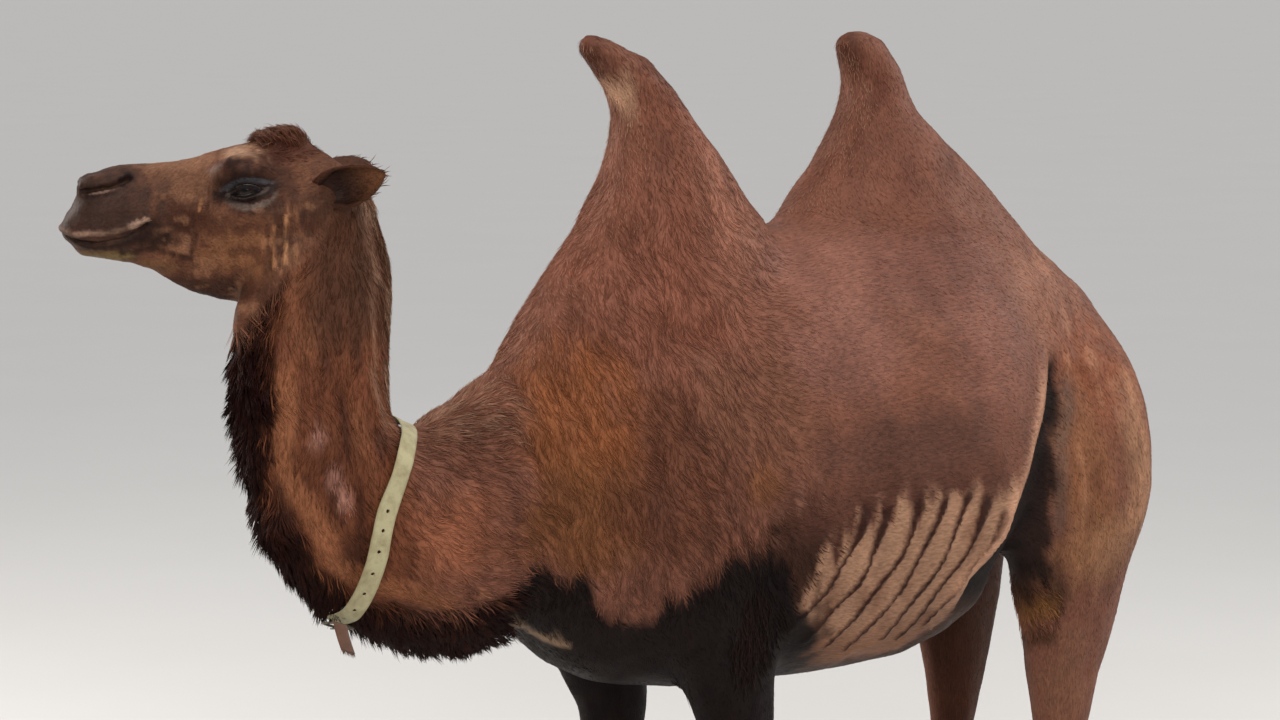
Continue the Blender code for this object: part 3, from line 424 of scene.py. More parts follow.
def mark_legs_and_chest(blend, p):
    """The inner hind legs in painted shade, dark elbows and chest, the feet, and painted shade and sheen at
    the groin fold.
    """
    q = flank_side(p)
    for k, (centre, radii, target, strength) in enumerate(LIMB_PATCHES):
        blend(target, strength * spot(q, centre, radii, ragged=0.42, grain=0.035, seed=80 + k, soft=0.45))
    # Painted shade: the inner sides of the hind legs are darkened below the stifle, and it is near-black
    # between the thighs above it.
    inner = ramp(p[:, 1], 0.235, 0.170) * ramp(p[:, 1], -0.17, -0.12)
    hind = ramp(q[:, 0], 0.74, 0.80)
    low = ramp(q[:, 2] + 0.03 * noise(p, 0.05, 34), 0.98, 0.88)
    blend(tone(58, 30, 17), hind * inner * low * 0.95)
    blend(tone(26, 16, 13), ramp(q[:, 0], 0.66, 0.74) * ramp(q[:, 2] + 0.05 * noise(p, 0.06, 62), 1.12, 0.98)
          * ramp(q[:, 1], 0.19, 0.12) * (1 - low) * 0.9)
    hanging = noise(q, (0.014, 0.03, 0.08), 65) + 0.6 * noise(q, 0.03, 66)
    blend(tone(56, 33, 24), dark_under(q, 0.085) * ramp(hanging, -0.25, 0.45)
          * ramp(q[:, 0], -0.12, -0.02) * 0.85)
    blend(tone(13, 5, 4), dark_under(q) * 0.98)
    feet = ramp(q[:, 2], 0.34, 0.12)
    blend(tone(88, 62, 48), feet * 0.7)
    pale = near_line(q, BREAST_FOLD)[0]
    blend(tone(146, 122, 100), ramp(pale + 0.003 * noise(p, 0.02, 47), 0.018, 0.006) * 0.75)
    # A painted sheen: bluish-grey light on the inner front of the thigh, just behind the fold.
    sheen = groin_side(q) - groin_width(q)
    blend(tone(84, 70, 66), np.exp(-((sheen - 0.018) / 0.016) ** 2) * ramp(q[:, 2], 1.40, 1.32)
          * ramp(q[:, 2], 1.00, 1.08) * 0.7)
    # Painted shade: near-black in the deep fold between flank and thigh, browner towards its rear edge and
    # its foot.
    hollow = groin_shade(q)
    blend(tone(12, 5, 5), hollow * 0.98)
    share = groin_side(q) / groin_width(q)
    blend(tone(46, 30, 25), hollow * ramp(share + 0.25 * noise(q, 0.04, 60), 0.62, 1.0) * 0.8)
    blend(tone(70, 45, 32), hollow * ramp(q[:, 2], 0.96, 0.88) * 0.8)


def mark_neck(blend, p):
    """The neck's streaks, bald spots and golden strip, its fringe, and the dark mane."""
    neck = is_neck(p)
    along, _, front, offset = on_neck(p)
    ahead = (offset * front).sum(axis=1)
    streak = noise(p, (0.024, 0.024, 0.14), 35)
    high = ramp(p[:, 0], -0.60, -0.68)
    blend(tone(98, 56, 36), neck * high * 0.9)
    blend(tone(54, 28, 18), neck * high * 0.75 * ramp(streak, 0.05, 0.5))
    blend(tone(128, 82, 56), neck * high * 0.45 * ramp(streak, -0.20, -0.55))
    for centre in BALD_SPOTS:
        blend(tone(150, 108, 96), neck * 0.9 * spot(p, centre, (0.016, 0.03, 0.026), grain=0.02, seed=48))
    start = np.interp(along, np.linspace(0, 1, len(NECK)), MANE_START)
    from_strip = np.abs(ahead - start + 0.024 + 0.008 * noise(p, 0.06, 53))
    blend(tone(142, 92, 64), neck * 0.85 * ramp(from_strip, 0.026, 0.006)
          * ramp(p[:, 0], -0.50, -0.62) * ramp(p[:, 2], 1.55, 1.46))
    ragged_height = p[:, 2] + 0.03 * noise(p, (0.02, 0.02, 0.08), 54)
    blend(tone(70, 44, 31), neck * 0.85 * ramp(ragged_height, 1.50, 1.58) * ramp(ahead, 0.10, 0.04))
    # A painted backlit rim: pale streaks along the back of the upper neck.
    blend(tone(142, 112, 94), neck * ramp(ahead, -0.045, -0.085) * ramp(p[:, 2], 1.30, 1.42) * 0.65
          * ramp(noise(p, (0.014, 0.014, 0.07), 49), -0.3, 0.3))
    fringe = neck * ramp(p[:, 0], -0.68, -0.60) * ramp(np.abs(ahead - start + 0.01), 0.035, 0.015)
    blend(tone(150, 104, 74), fringe * ramp(noise(p, (0.012, 0.05, 0.05), 51), 0.15, 0.45) * 0.7)
    blend(tone(21, 3, 0), is_mane(p) * 0.98)
    blend(tone(44, 20, 13), is_mane(p) * ramp(noise(p, (0.02, 0.02, 0.09), 64), 0.1, 0.6) * 0.6)


def mark_head(blend, p):
    """The face's patches, stripes, blotches and lines, with painted shade and highlights among them, and the
    lids.
    """
    head = is_head(p)
    h = flank_side(to_head(p))
    blend(tone(98, 64, 47), head * 0.95)
    for k, (centre, radii, target, strength) in enumerate(HEAD_PATCHES):
        blend(target, head * strength * spot(h, centre, radii, grain=0.03, seed=110 + k))
    stripes = noise(h, (0.0075, 0.05, 0.05), 37)
    temple = spot(h, (0.050, 0.09, 0.00), (0.055, 0.06, 0.085), grain=0.03)
    blend(tone(54, 32, 22), head * temple * ramp(stripes, 0.0, 0.4) * 0.55)
    blend(tone(140, 98, 70), head * temple * ramp(stripes, -0.15, -0.55) * 0.45)
    blotch = noise(h, (0.034, 0.05, 0.020), 56) + 0.5 * noise(h, 0.010, 57)
    face = head * ramp(h[:, 2], 0.12, 0.06) * ramp(h[:, 0], 0.30, 0.26)
    blend(tone(66, 37, 27), face * ramp(blotch, 0.15, 0.60) * 0.55)
    blend(tone(150, 108, 82), face * ramp(blotch, -0.25, -0.70) * 0.35)
    torn = 1 + 0.35 * noise(h, (0.006, 0.006, 0.014), 58)
    for line, width, target, strength in FACE_LINES:
        distance, _ = near_line(h, line)
        blend(target, head * strength * ramp(distance * torn, 1.7 * width, 0.5 * width))
    eye_u, eye_v, _ = eye_frame(h)
    lids = lid_shape(eye_u, eye_v)
    beside = head * (h[:, 1] > 0.05)
    # Near-black round the opening: dark lid skin together with the painted shadow of the lids and lashes.
    blend(tone(24, 14, 13), beside * ramp(lids, 7.5, 3.0) * 0.9)
    blend(tone(66, 66, 72), beside * ramp(np.abs(lids - 3.4), 1.8, 0.4) * (eye_v > 0.005) * 0.75)
    blend(tone(84, 74, 70), beside * ramp(np.abs(lids - 2.2), 0.8, 0.2) * (eye_v < 0.001) * 0.6)


# The pale fold of skin under the chest, and the bald spots on the side of the neck.
BREAST_FOLD = np.array([(-0.439, 0.107, 1.017), (-0.392, 0.083, 0.980), (-0.350, 0.055, 0.955),
                        (-0.309, 0.035, 0.937), (-0.287, 0.063, 0.924), (-0.267, 0.091, 0.918)])
BALD_SPOTS = ((-0.819, -0.060, 1.375), (-0.795, -0.073, 1.300), (-0.779, -0.080, 1.262))
# Lines of the left half of the face in the head's frame.
NOSTRIL = np.array([(0.420, 0.044, 0.091), (0.394, 0.053, 0.095), (0.367, 0.053, 0.101),
                    (0.343, 0.042, 0.111), (0.333, 0.037, 0.117)])
NOSTRIL_LIP = np.array([(0.405, 0.051, 0.088), (0.380, 0.054, 0.091), (0.352, 0.050, 0.100)])
NOSTRIL_FOLD = np.array([(0.418, 0.047, 0.080), (0.385, 0.056, 0.083), (0.350, 0.053, 0.089)])
MOUTH = np.array([(0.464, 0.000, 0.012), (0.455, 0.030, 0.009), (0.440, 0.040, 0.002),
                  (0.412, 0.047, -0.003), (0.387, 0.050, -0.005), (0.338, 0.050, 0.003),
                  (0.316, 0.052, 0.016), (0.300, 0.053, 0.032)])
LIP_RIM = np.array([(0.464, 0.000, 0.024), (0.450, 0.036, 0.018), (0.432, 0.050, 0.013),
                    (0.405, 0.058, 0.015), (0.381, 0.057, 0.014), (0.354, 0.054, 0.018),
                    (0.329, 0.053, 0.026), (0.300, 0.053, 0.038)])
JAW_CREASE = np.array([(0.345, 0.034, -0.026), (0.329, 0.036, -0.026), (0.296, 0.041, -0.018),
                       (0.256, 0.045, -0.028), (0.223, 0.050, -0.037)])
CHEEK_FOLDS = (
    np.array([(0.188, 0.066, 0.106), (0.192, 0.075, 0.063)]),
    np.array([(0.211, 0.068, 0.014), (0.220, 0.055, -0.024)]),
    np.array([(0.083, 0.093, 0.007), (0.081, 0.097, -0.026), (0.080, 0.106, -0.053)]),
    np.array([(0.060, 0.096, 0.026), (0.063, 0.108, -0.047)]),
    np.array([(0.039, 0.095, 0.034), (0.040, 0.099, -0.004)]),
)
UNDER_EYE = np.array([(0.163, 0.082, 0.088), (0.157, 0.085, 0.076), (0.140, 0.093, 0.066),
                      (0.123, 0.096, 0.062), (0.098, 0.096, 0.065), (0.073, 0.094, 0.076),
                      (0.066, 0.092, 0.088)])
# (line, half its width, colour, strength), painted in this order.
FACE_LINES = (
    (LIP_RIM, 0.0045, tone(108, 84, 72), 0.70),
    (LIP_RIM[2:5] + np.array((0.0, 0.0, 0.001)), 0.0040, tone(142, 114, 100), 0.70),
    (LIP_RIM[6:] + np.array((0.0, 0.0, 0.001)), 0.0050, tone(158, 130, 114), 0.80),
    # Painted shade: the dark band under the mouth is the lower lip in shade.
    (MOUTH - np.array((0.0, 0.0, 0.012)), 0.0085, tone(38, 22, 17), 0.9),
    # Painted shade: near-black in the slit of the mouth, in the nostrils and in the nostril's fold.
    (MOUTH, 0.0044, tone(16, 8, 7), 0.98),
    (NOSTRIL, 0.0055, tone(14, 8, 8), 0.98),
    (NOSTRIL[3:], 0.0085, tone(30, 20, 23), 0.9),
    (NOSTRIL_FOLD, 0.0036, tone(30, 19, 18), 0.9),
    (NOSTRIL_LIP, 0.0026, tone(132, 108, 98), 0.85),
    # Painted shade in the crease of the jaw and the folds of the cheek.
    (JAW_CREASE, 0.0060, tone(40, 22, 16), 0.85),
    (CHEEK_FOLDS[0], 0.0040, tone(50, 28, 20), 0.8),
    (CHEEK_FOLDS[1], 0.0042, tone(46, 27, 20), 0.8),
    (CHEEK_FOLDS[2], 0.0034, tone(44, 25, 18), 0.85),
    (CHEEK_FOLDS[3], 0.0030, tone(44, 25, 18), 0.80),
    (CHEEK_FOLDS[4], 0.0030, tone(46, 27, 20), 0.80),
    (np.array([(0.018, 0.092, 0.056), (0.018, 0.103, -0.023)]), 0.0060, tone(48, 28, 21), 0.7),
    (np.array([(0.200, 0.064, 0.097), (0.206, 0.070, 0.057)]), 0.0030, tone(158, 110, 78), 0.8),
    (np.array([(0.229, 0.062, 0.007), (0.232, 0.054, -0.018)]), 0.0055, tone(140, 102, 80), 0.6),
    (np.array([(0.070, 0.096, 0.024), (0.071, 0.098, -0.017), (0.073, 0.106, -0.047)]), 0.0030,
     tone(158, 112, 80), 0.85),
    (np.array([(0.049, 0.096, 0.044), (0.048, 0.099, -0.004), (0.052, 0.109, -0.040)]), 0.0038,
     tone(168, 122, 88), 0.85),
    (np.array([(0.032, 0.096, 0.010), (0.030, 0.106, -0.029)]), 0.0030, tone(136, 98, 72), 0.75),
    (UNDER_EYE, 0.0052, tone(104, 92, 86), 0.7),
)


# ---------------------------------------------------------------------------
# The skin
# ---------------------------------------------------------------------------
def eye_frame(h):
    """(forward, up, outward) of points of the left half of the head, from the eye's middle."""
    out = EYE_LOOK / np.linalg.norm(EYE_LOOK)
    up = np.array((0, 0, 1.0)) - out * out[2]
    up /= np.linalg.norm(up)
    ahead = np.cross(out, up)
    ahead *= np.sign(ahead[0])
    r = h - EYE_PLACE
    c, s = math.cos(EYE_SLANT), math.sin(EYE_SLANT)
    u, v = r @ ahead, r @ up
    return u * c - v * s, u * s + v * c, r @ out


def lid_shape(u, v):
    """Below 1 inside the opening between the lids, and growing outwards."""
    rise = np.where(v > -LID_DROP, LID_RISE[0], LID_RISE[1])
    return (np.abs(u) / LID_REACH) ** LID_POWERS[0] + (np.abs(v + LID_DROP) / rise) ** LID_POWERS[1]


def merged(mesh):
    """The mesh with the vertices joined that glTF splits at sharp edges."""
    bm = bmesh.new()
    bm.from_mesh(mesh)
    bmesh.ops.remove_doubles(bm, verts=bm.verts, dist=1e-5)
    bm.to_mesh(mesh)
    bm.free()
    return mesh


def flesh_mesh():
    """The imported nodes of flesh, with the eyeballs, as one set of vertices and faces."""
    verts, faces, base = [], [], 0
    for name, obj in sorted(frame["nodes"].items()):
        if name.startswith(("ear", "toenail", "collar")):
            continue
        co = np.empty(len(obj.data.vertices) * 3, np.float32)
        obj.data.vertices.foreach_get("co", co)
        verts.append(co.reshape(-1, 3))
        faces += [tuple(base + i for i in polygon.vertices) for polygon in obj.data.polygons]
        base += len(obj.data.vertices)
    mesh = bpy.data.meshes.new("flesh")
    mesh.from_pydata(np.concatenate(verts).tolist(), [], faces)
    return merged(mesh)


def evaluated(obj):
    bpy.context.view_layer.update()
    return bpy.data.meshes.new_from_object(obj.evaluated_get(bpy.context.evaluated_depsgraph_get()))


def scene_object(name, mesh):
    obj = bpy.data.objects.new(name, mesh)
    bpy.context.scene.collection.objects.link(obj)
    return obj


def mesh_object(name, bm, material=None):
    """An object of the bmesh, which is freed; smooth and in the material, if there is one."""
    mesh = bpy.data.meshes.new(name)
    bm.to_mesh(mesh)
    bm.free()
    if material:
        mesh.shade_smooth()
        mesh.materials.append(material)
    return scene_object(name, mesh)


def bridge(bm, rings, closed):
    """Four-sided faces from each ring of vertices to the next, and from the last to the first if closed."""
    for first, second in zip(rings, rings[1:] + rings[:1] * closed):
        for i in range(len(first)):
            j = (i + 1) % len(first)
            bm.faces.new((first[i], first[j], second[j], second[i]))


def coordinates(mesh):
    co = np.empty(len(mesh.vertices) * 3, np.float32)
    mesh.vertices.foreach_get("co", co)
    return co.reshape(-1, 3).astype(float)


def set_places(mesh, p):
    """Puts the vertices of the mesh at points of the camel's frame."""
    mesh.vertices.foreach_set("co", (p + BODY).ravel().astype(np.float32))
    mesh.update()


def triangles_of(mesh, what="vertices"):
    """The vertices or loops of each triangle, in rows of three."""
    mesh.calc_loop_triangles()
    tris = np.empty(len(mesh.loop_triangles) * 3, np.int32)
    mesh.loop_triangles.foreach_get(what, tris)
    return tris.reshape(-1, 3)


def edges_of(mesh):
    edges = np.empty(len(mesh.edges) * 2, np.int32)
    mesh.edges.foreach_get("vertices", edges)
    return edges.reshape(-1, 2)


def components(count, edges):
    """A label for each vertex that is the same over each loose part."""
    label = np.arange(count)
    while True:
        low = np.minimum(label[edges[:, 0]], label[edges[:, 1]])
        fresh = label.copy()
        np.minimum.at(fresh, edges[:, 0], low)
        np.minimum.at(fresh, edges[:, 1], low)
        fresh = fresh[fresh]
        if (fresh == label).all():
            return label
        label = fresh


def smoothed(co, edges, strength, passes):
    """Laplacian smoothing with a strength for each vertex."""
    a, b = edges[:, 0], edges[:, 1]
    count = np.maximum(np.bincount(a, minlength=len(co)) + np.bincount(b, minlength=len(co)), 1)
    for _ in range(passes):
        mean = np.stack([
            (np.bincount(a, co[b, k], len(co)) + np.bincount(b, co[a, k], len(co))) / count
            for k in range(3)
        ], axis=1)
        co = co + (mean - co) * strength[:, None]
    return co


def vertex_normals(mesh):
    normals = np.empty(len(mesh.vertices) * 3, np.float32)
    mesh.vertices.foreach_get("normal", normals)
    return unit(normals.reshape(-1, 3).astype(float))


def coat_depth(p):
    """How far the skin lies under the tips of the coat."""
    q = flank_side(p)
    h = flank_side(to_head(p))
    head, neck, mane = is_head(p), is_neck(p), is_mane(p)
    depth = np.full(len(p), 0.0040)
    depth += 0.0040 * ramp(p[:, 0], 0.25, 0.00) * ramp(p[:, 2], 1.0, 1.1)
    depth = depth + (0.0030 - depth) * is_leg(p)
    depth = depth + (0.0020 - depth) * bare_belly(q)
    depth = depth + (0.0030 - depth) * ramp(p[:, 2], 1.90, 2.02)
    depth = depth + (0.0060 - depth) * neck
    depth = depth + (0.0120 - depth) * mane
    depth = depth + (0.0022 - depth) * head
    depth += 0.014 * head * spot(h, CROWN, (0.075, 0.06, 0.05))
    return depth * ramp(p[:, 2], 0.0, 0.03)


def sculpt_body(p, normal):
    """Folds and hollows of the body that the solids leave out, as an offset along the normal."""
    q = flank_side(p)
    behind = groin_side(q)
    width = groin_width(q)
    reach = ramp(q[:, 2], 1.43, 1.37) * ramp(q[:, 2], 0.90, 0.98) * ramp(q[:, 1], 0.12, 0.18)
    push = -np.minimum(0.30 * width, 0.020) * ramp(behind, -0.008, 0.006)
    push *= ramp(behind, 1.3 * width + 0.02, 0.5 * width)
    push += 0.005 * np.exp(-((behind + 0.028) / 0.020) ** 2)
    push *= reach
    bare = bare_belly(q)
    push += bare * (0.0045 * belly_lines(q) - 0.0015 + 0.0015 * noise(q, (0.03, 0.05, 0.12), 25))
    # Hollows behind the elbow, at the withers, before the hip and in the saddle.
    for x, z, wide, depth in ((0.120, 1.12, 0.045, -0.014), (0.125, 1.02, 0.045, -0.016),
                              (-0.44, 1.33, 0.060, -0.006), (0.93, 1.47, 0.050, -0.006),
                              (0.30, 1.645, 0.060, -0.006)):
        d = np.hypot(q[:, 0] - x, q[:, 2] - z)
        push += depth * np.exp(-(d / wide) ** 2) * (q[:, 1] > 0.08)
    low = 0.0035 * noise(p, 0.11, 26) + 0.002 * noise(p, 0.05, 27)
    push += low * (1 - is_head(p)) * (1 - is_leg(p)) * (1 - 0.6 * bare)
    woolly = ramp(p[:, 0], 0.28, 0.02) * (1 - is_head(p)) * ramp(p[:, 2], 0.95, 1.05)
    push += 0.0022 * woolly * noise(p, (0.022, 0.022, 0.055), 24)
    neck = is_neck(p)
    push += neck * 0.004 * noise(p, (0.035, 0.035, 0.16), 28)
    knees = is_leg(p)
    push += knees * 0.0015 * noise(p, (0.02, 0.02, 0.06), 29)
    return p + normal * push[:, None]


def sculpt_head(p, normal):
    """Lids, nostrils, lips and folds of the face."""
    head = is_head(p)
    on = head > 0.01
    h_all = to_head(p)
    side = np.sign(h_all[:, 1])
    side[side == 0] = 1
    h = h_all[on].copy()
    s = side[on]
    h[:, 1] *= s
    n = (normal @ HEAD_AXES)[on].copy()
    n[:, 1] *= s
    push = np.zeros(len(h))

    def groove(line, depth, width):
        d = near_line(h, line)[0]
        return -depth * np.exp(-(d / width) ** 2)

    def mound(centre, radii, height):
        d = (((h - np.array(centre)) / np.array(radii)) ** 2).sum(axis=1)
        return height * np.exp(-d)

    push += groove(NOSTRIL, 0.0105, 0.0042) + groove(NOSTRIL[2:], 0.006, 0.007)
    push += groove(NOSTRIL_FOLD, 0.0035, 0.0034)
    push -= groove(NOSTRIL + np.array((-0.004, 0.0, 0.013)), 0.0045, 0.0075)
    push -= groove(NOSTRIL_LIP, 0.0022, 0.0033)
    push += groove(MOUTH, 0.0085, 0.0034)
    push -= groove(LIP_RIM, 0.0038, 0.0060)
    push -= groove(MOUTH[1:6] - np.array((0.0, 0.0, 0.012)), 0.0035, 0.0075)
    push -= groove(LIP_RIM[6:] + np.array((0.0, 0.0, 0.002)), 0.0030, 0.0065)
    push += groove(JAW_CREASE, 0.0026, 0.0055)
    for fold in CHEEK_FOLDS:
        push += groove(fold, 0.0020, 0.0036)
    philtrum = np.array([(0.466, 0.0, 0.014), (0.455, 0.0, 0.045), (0.440, 0.0, 0.072)])
    push += groove(philtrum, 0.0050, 0.0040)
    push += mound((0.205, 0.060, 0.095), (0.055, 0.03, 0.024), -0.0045)    # in front of the eye
    push += mound((0.255, 0.050, 0.055), (0.060, 0.04, 0.030), -0.0030)
    push += mound((0.160, 0.075, 0.050), (0.070, 0.04, 0.014), 0.0040)     # cheek bone
    push += mound((0.040, 0.080, 0.125), (0.040, 0.03, 0.028), -0.0050)    # temple
    push += mound((0.030, 0.060, -0.090), (0.050, 0.04, 0.040), 0.0035)    # angle of the jaw
    push += mound((0.130, 0.050, -0.060), (0.080, 0.03, 0.020), -0.0025)
    push += mound((0.400, 0.035, 0.055), (0.040, 0.04, 0.022), 0.0020)
    push += 0.0007 * noise(h, 0.010, 61) + 0.0012 * noise(h, (0.03, 0.03, 0.012), 62)
    h = h + n * push[:, None]
    # The lids follow the eyeball; inside the opening the skin drops behind it.
    u, v, out = eye_frame(h)
    r = h - EYE_PLACE
    reach = np.linalg.norm(r, axis=1)
    a = lid_shape(u, v)
    crease = 0.0016 * np.exp(-((v - 0.0150) / 0.0020) ** 2) * (np.abs(u) < 0.026)
    bag = 0.0012 * np.exp(-((v + 0.0145) / 0.0018) ** 2) * (np.abs(u) < 0.024)
    rim = EYE_RADIUS + 0.0030 + 0.0010 * np.exp(-((a - 1.25) / 0.25) ** 2) - crease - bag
    hold = ramp(a, 7.5, 1.6) * ramp(out, 0.0, 0.008)
    wanted = np.where(a < 1.0, EYE_RADIUS - 0.0050, rim)
    hold = np.where(a < 1.0, ramp(out, 0.0, 0.008), hold)
    wanted = reach + (wanted - reach) * hold
    h = EYE_PLACE + r / reach[:, None] * wanted[:, None]
    h[:, 1] *= s
    made = p.copy()
    made[on] = from_head(h)
    return made


def refine(mesh, chosen):
    """Splits the edges whose vertices are chosen by a test of their place."""
    inside = chosen(coordinates(mesh) - BODY)
    bm = bmesh.new()
    bm.from_mesh(mesh)
    bm.verts.ensure_lookup_table()
    edges = [e for e in bm.edges if inside[e.verts[0].index] and inside[e.verts[1].index]]
    bmesh.ops.subdivide_edges(bm, edges=edges, cuts=1, use_grid_fill=True)
    bmesh.ops.triangulate(bm, faces=[f for f in bm.faces if len(f.verts) > 4])
    bm.to_mesh(mesh)
    bm.free()


def near_eye(p, reach):
    return (np.linalg.norm(flank_side(to_head(p)) - EYE_PLACE, axis=1) < reach) & (is_head(p) > 0.5)


def near_face_features(p):
    h = flank_side(to_head(p))
    near = near_eye(p, 0.044)
    for line, reach in ((NOSTRIL, 0.020), (MOUTH, 0.018)):
        near |= near_line(h, line)[0] < reach
    return near & (is_head(p) > 0.5)


def main_part(mesh):
    """Deletes all but the largest loose part of the mesh."""
    label = components(len(mesh.vertices), edges_of(mesh))
    main = np.bincount(label).argmax()
    bm = bmesh.new()
    bm.from_mesh(mesh)
    bmesh.ops.delete(bm, geom=[v for v, keep in zip(bm.verts, label == main) if not keep], context="VERTS")
    bm.to_mesh(mesh)
    bm.free()


def thin_out(skin, p):
    """Brings the skin down to its number of triangles, least of all on the face."""
    group = skin.vertex_groups.new(name="plain")
    weight = np.round(1 - 0.97 * is_head(p), 2)
    for value in np.unique(weight):
        group.add(np.nonzero(weight == value)[0].tolist(), float(value), "REPLACE")
    ratio = SKIN_TRIANGLES / len(triangles_of(skin.data))
    if ratio < 1:
        simplify = skin.modifiers.new("simplify", "DECIMATE")
        simplify.ratio = ratio
        simplify.vertex_group = group.name
        skin.data = evaluated(skin)
        skin.modifiers.clear()
    skin.vertex_groups.clear()


def build_skin():
    """One skin over the flesh: merged, softened, finer on the face, drawn in by the coat, and sculpted."""
    flesh = scene_object("flesh", flesh_mesh())
    remesh = flesh.modifiers.new("merge", "REMESH")
    remesh.mode = "VOXEL"
    remesh.voxel_size = SKIN_VOXEL
    mesh = evaluated(flesh)
    bpy.data.objects.remove(flesh)
    main_part(mesh)
    p = coordinates(mesh) - BODY
    sole = p[:, 2] < 0.006
    fine = np.maximum(is_head(p), is_leg(p))
    fine = np.maximum(fine, ramp(p[:, 0], 1.33, 1.36))
    tips = ramp(p[:, 2], 1.90, 2.02)
    strength = 0.5 * (1 - 0.90 * fine) * (1 - 0.60 * tips) * (1 - 0.35 * is_neck(p))
    strength[sole] = 0.02
    # The shape lost to the smoothing is smoothed too and given back, so that nothing shrinks.
    edges = edges_of(mesh)
    softer = smoothed(p, edges, strength, 50)
    set_places(mesh, softer + smoothed(p - softer, edges, strength, 25))
    refine(mesh, lambda p: is_head(p) > 0.4)
    refine(mesh, near_face_features)
    refine(mesh, lambda p: near_eye(p, 0.031))
    mesh.update()
    p = coordinates(mesh) - BODY
    p = smoothed(p, edges_of(mesh), 0.5 * is_head(p), 3)
    set_places(mesh, p)
    sole = p[:, 2] < 0.004
    normal = vertex_normals(mesh)
    p = sculpt_body(p - normal * coat_depth(p)[:, None], normal)
    set_places(mesh, p)
    p = sculpt_head(p, vertex_normals(mesh))
    p[sole, 2] = 0.0
    p[:, 2] = np.maximum(p[:, 2], 0.0)
    set_places(mesh, p)
    skin = scene_object("skin", mesh)
    thin_out(skin, p)
    return skin


# ---------------------------------------------------------------------------
# Ears
# ---------------------------------------------------------------------------
def ear_mesh(side, rows=22, spread=27):
    """A cupped leaf, thick at the root; vertices in the camel's frame, faces, and how far inside."""
    root, tip = EAR_ROOT * (1, side, 1), EAR_TIP * (1, side, 1)
    length = tip - root
    along = length / np.linalg.norm(length)
    mouth = np.array((0.42, side * 0.85, -0.22))
    mouth = unit(mouth - along * (mouth @ along))
    across = np.cross(along, mouth)
    # (share of the length, half width, depth, wall)
    knots = np.array([(-0.16, 0.0270, 0.0190, 0.0180), (0.05, 0.0380, 0.0230, 0.0160),
                      (0.25, 0.0410, 0.0260, 0.0080), (0.48, 0.0385, 0.0235, 0.0060),
                      (0.70, 0.0310, 0.0170, 0.0052), (0.88, 0.0195, 0.0105, 0.0044),
                      (1.00, 0.0055, 0.0045, 0.0030)])
    shares = np.linspace(-0.16, 1.0, rows)
    angles = np.radians(np.linspace(-104, 104, spread))
    verts = []
    for share in shares:
        width, depth, wall = (np.interp(share, knots[:, 0], knots[:, k]) for k in (1, 2, 3))
        centre = root + length * share
        wave = 1 + 0.03 * np.sin(angles * 3 + share * 5)
        outer = [centre + across * (width * w * math.sin(a)) - mouth * (depth * math.cos(a))
                 for a, w in zip(angles, wave)]
        inner = [centre + across * ((width * w - wall) * math.sin(a * 0.94))
                 - mouth * ((depth - wall) * math.cos(a * 0.94)) for a, w in zip(angles[::-1], wave[::-1])]
        verts += outer + inner
    ring = 2 * spread
    faces = []
    for i in range(rows - 1):
        for j in range(ring):
            k = (j + 1) % ring
            faces.append((i * ring + j, i * ring + k, (i + 1) * ring + k, (i + 1) * ring + j))
    faces.append(tuple(range(ring))[::-1])
    faces.append(tuple((rows - 1) * ring + j for j in range(ring)))
    inside = np.tile(np.repeat((0.0, 1.0), spread), rows)
    return from_head(np.array(verts)), faces, inside


def add_ears(skin):
    """Joins both ears into the skin, their roots sunk in the head, and marks them and their hollows."""
    bm = bmesh.new()
    bm.from_mesh(skin.data)
    inner = bm.verts.layers.float.new("ear_inside")
    ear = bm.verts.layers.float.new("ear")
    for side in (1, -1):
        verts, faces, inside = ear_mesh(side)
        made = [bm.verts.new(v + BODY) for v in verts]
        for vertex, value in zip(made, inside):
            vertex[inner] = value
            vertex[ear] = 1.0
        fresh = [bm.faces.new([made[i] for i in face]) for face in faces]
        bmesh.ops.recalc_face_normals(bm, faces=fresh)
    bmesh.ops.triangulate(bm, faces=bm.faces)
    bm.to_mesh(skin.data)
    bm.free()


def attribute(mesh, name):
    values = np.empty(len(mesh.vertices), np.float32)
    mesh.attributes[name].data.foreach_get("value", values)
    return values.astype(float)


def marked(p, ear, inside):
    """The markings, and those of the ears: in the hollow, painted shade at the root, lighter brown towards
    the tip.
    """
    marks = markings(p)
    h = flank_side(to_head(p))
    share = ((h - EAR_ROOT) @ (EAR_TIP - EAR_ROOT)) / ((EAR_TIP - EAR_ROOT) @ (EAR_TIP - EAR_ROOT))
    grain = (1 + 0.14 * noise(h, 0.012, 52))[:, None]
    back = tone(74, 44, 30) * grain
    # Painted shade: the hollow is dark deep at its root and lighter brown towards the tip, where the light
    # reaches in.
    deep, edge = tone(42, 23, 16), tone(112, 72, 48)
    hollow = (deep + (edge - deep) * ramp(share, 0.22, 0.95)[:, None]) * grain
    on = ear > 0.5
    marks[on] = back[on]
    on &= inside > 0.5
    marks[on] = hollow[on]
    return marks


def set_colours(mesh, colours):
    layer = mesh.color_attributes.new(name="marks", type="FLOAT_COLOR", domain="POINT")
    rgba = np.ones((len(colours), 4), np.float32)
    rgba[:, :3] = colours
    layer.data.foreach_set("color", rgba.ravel())


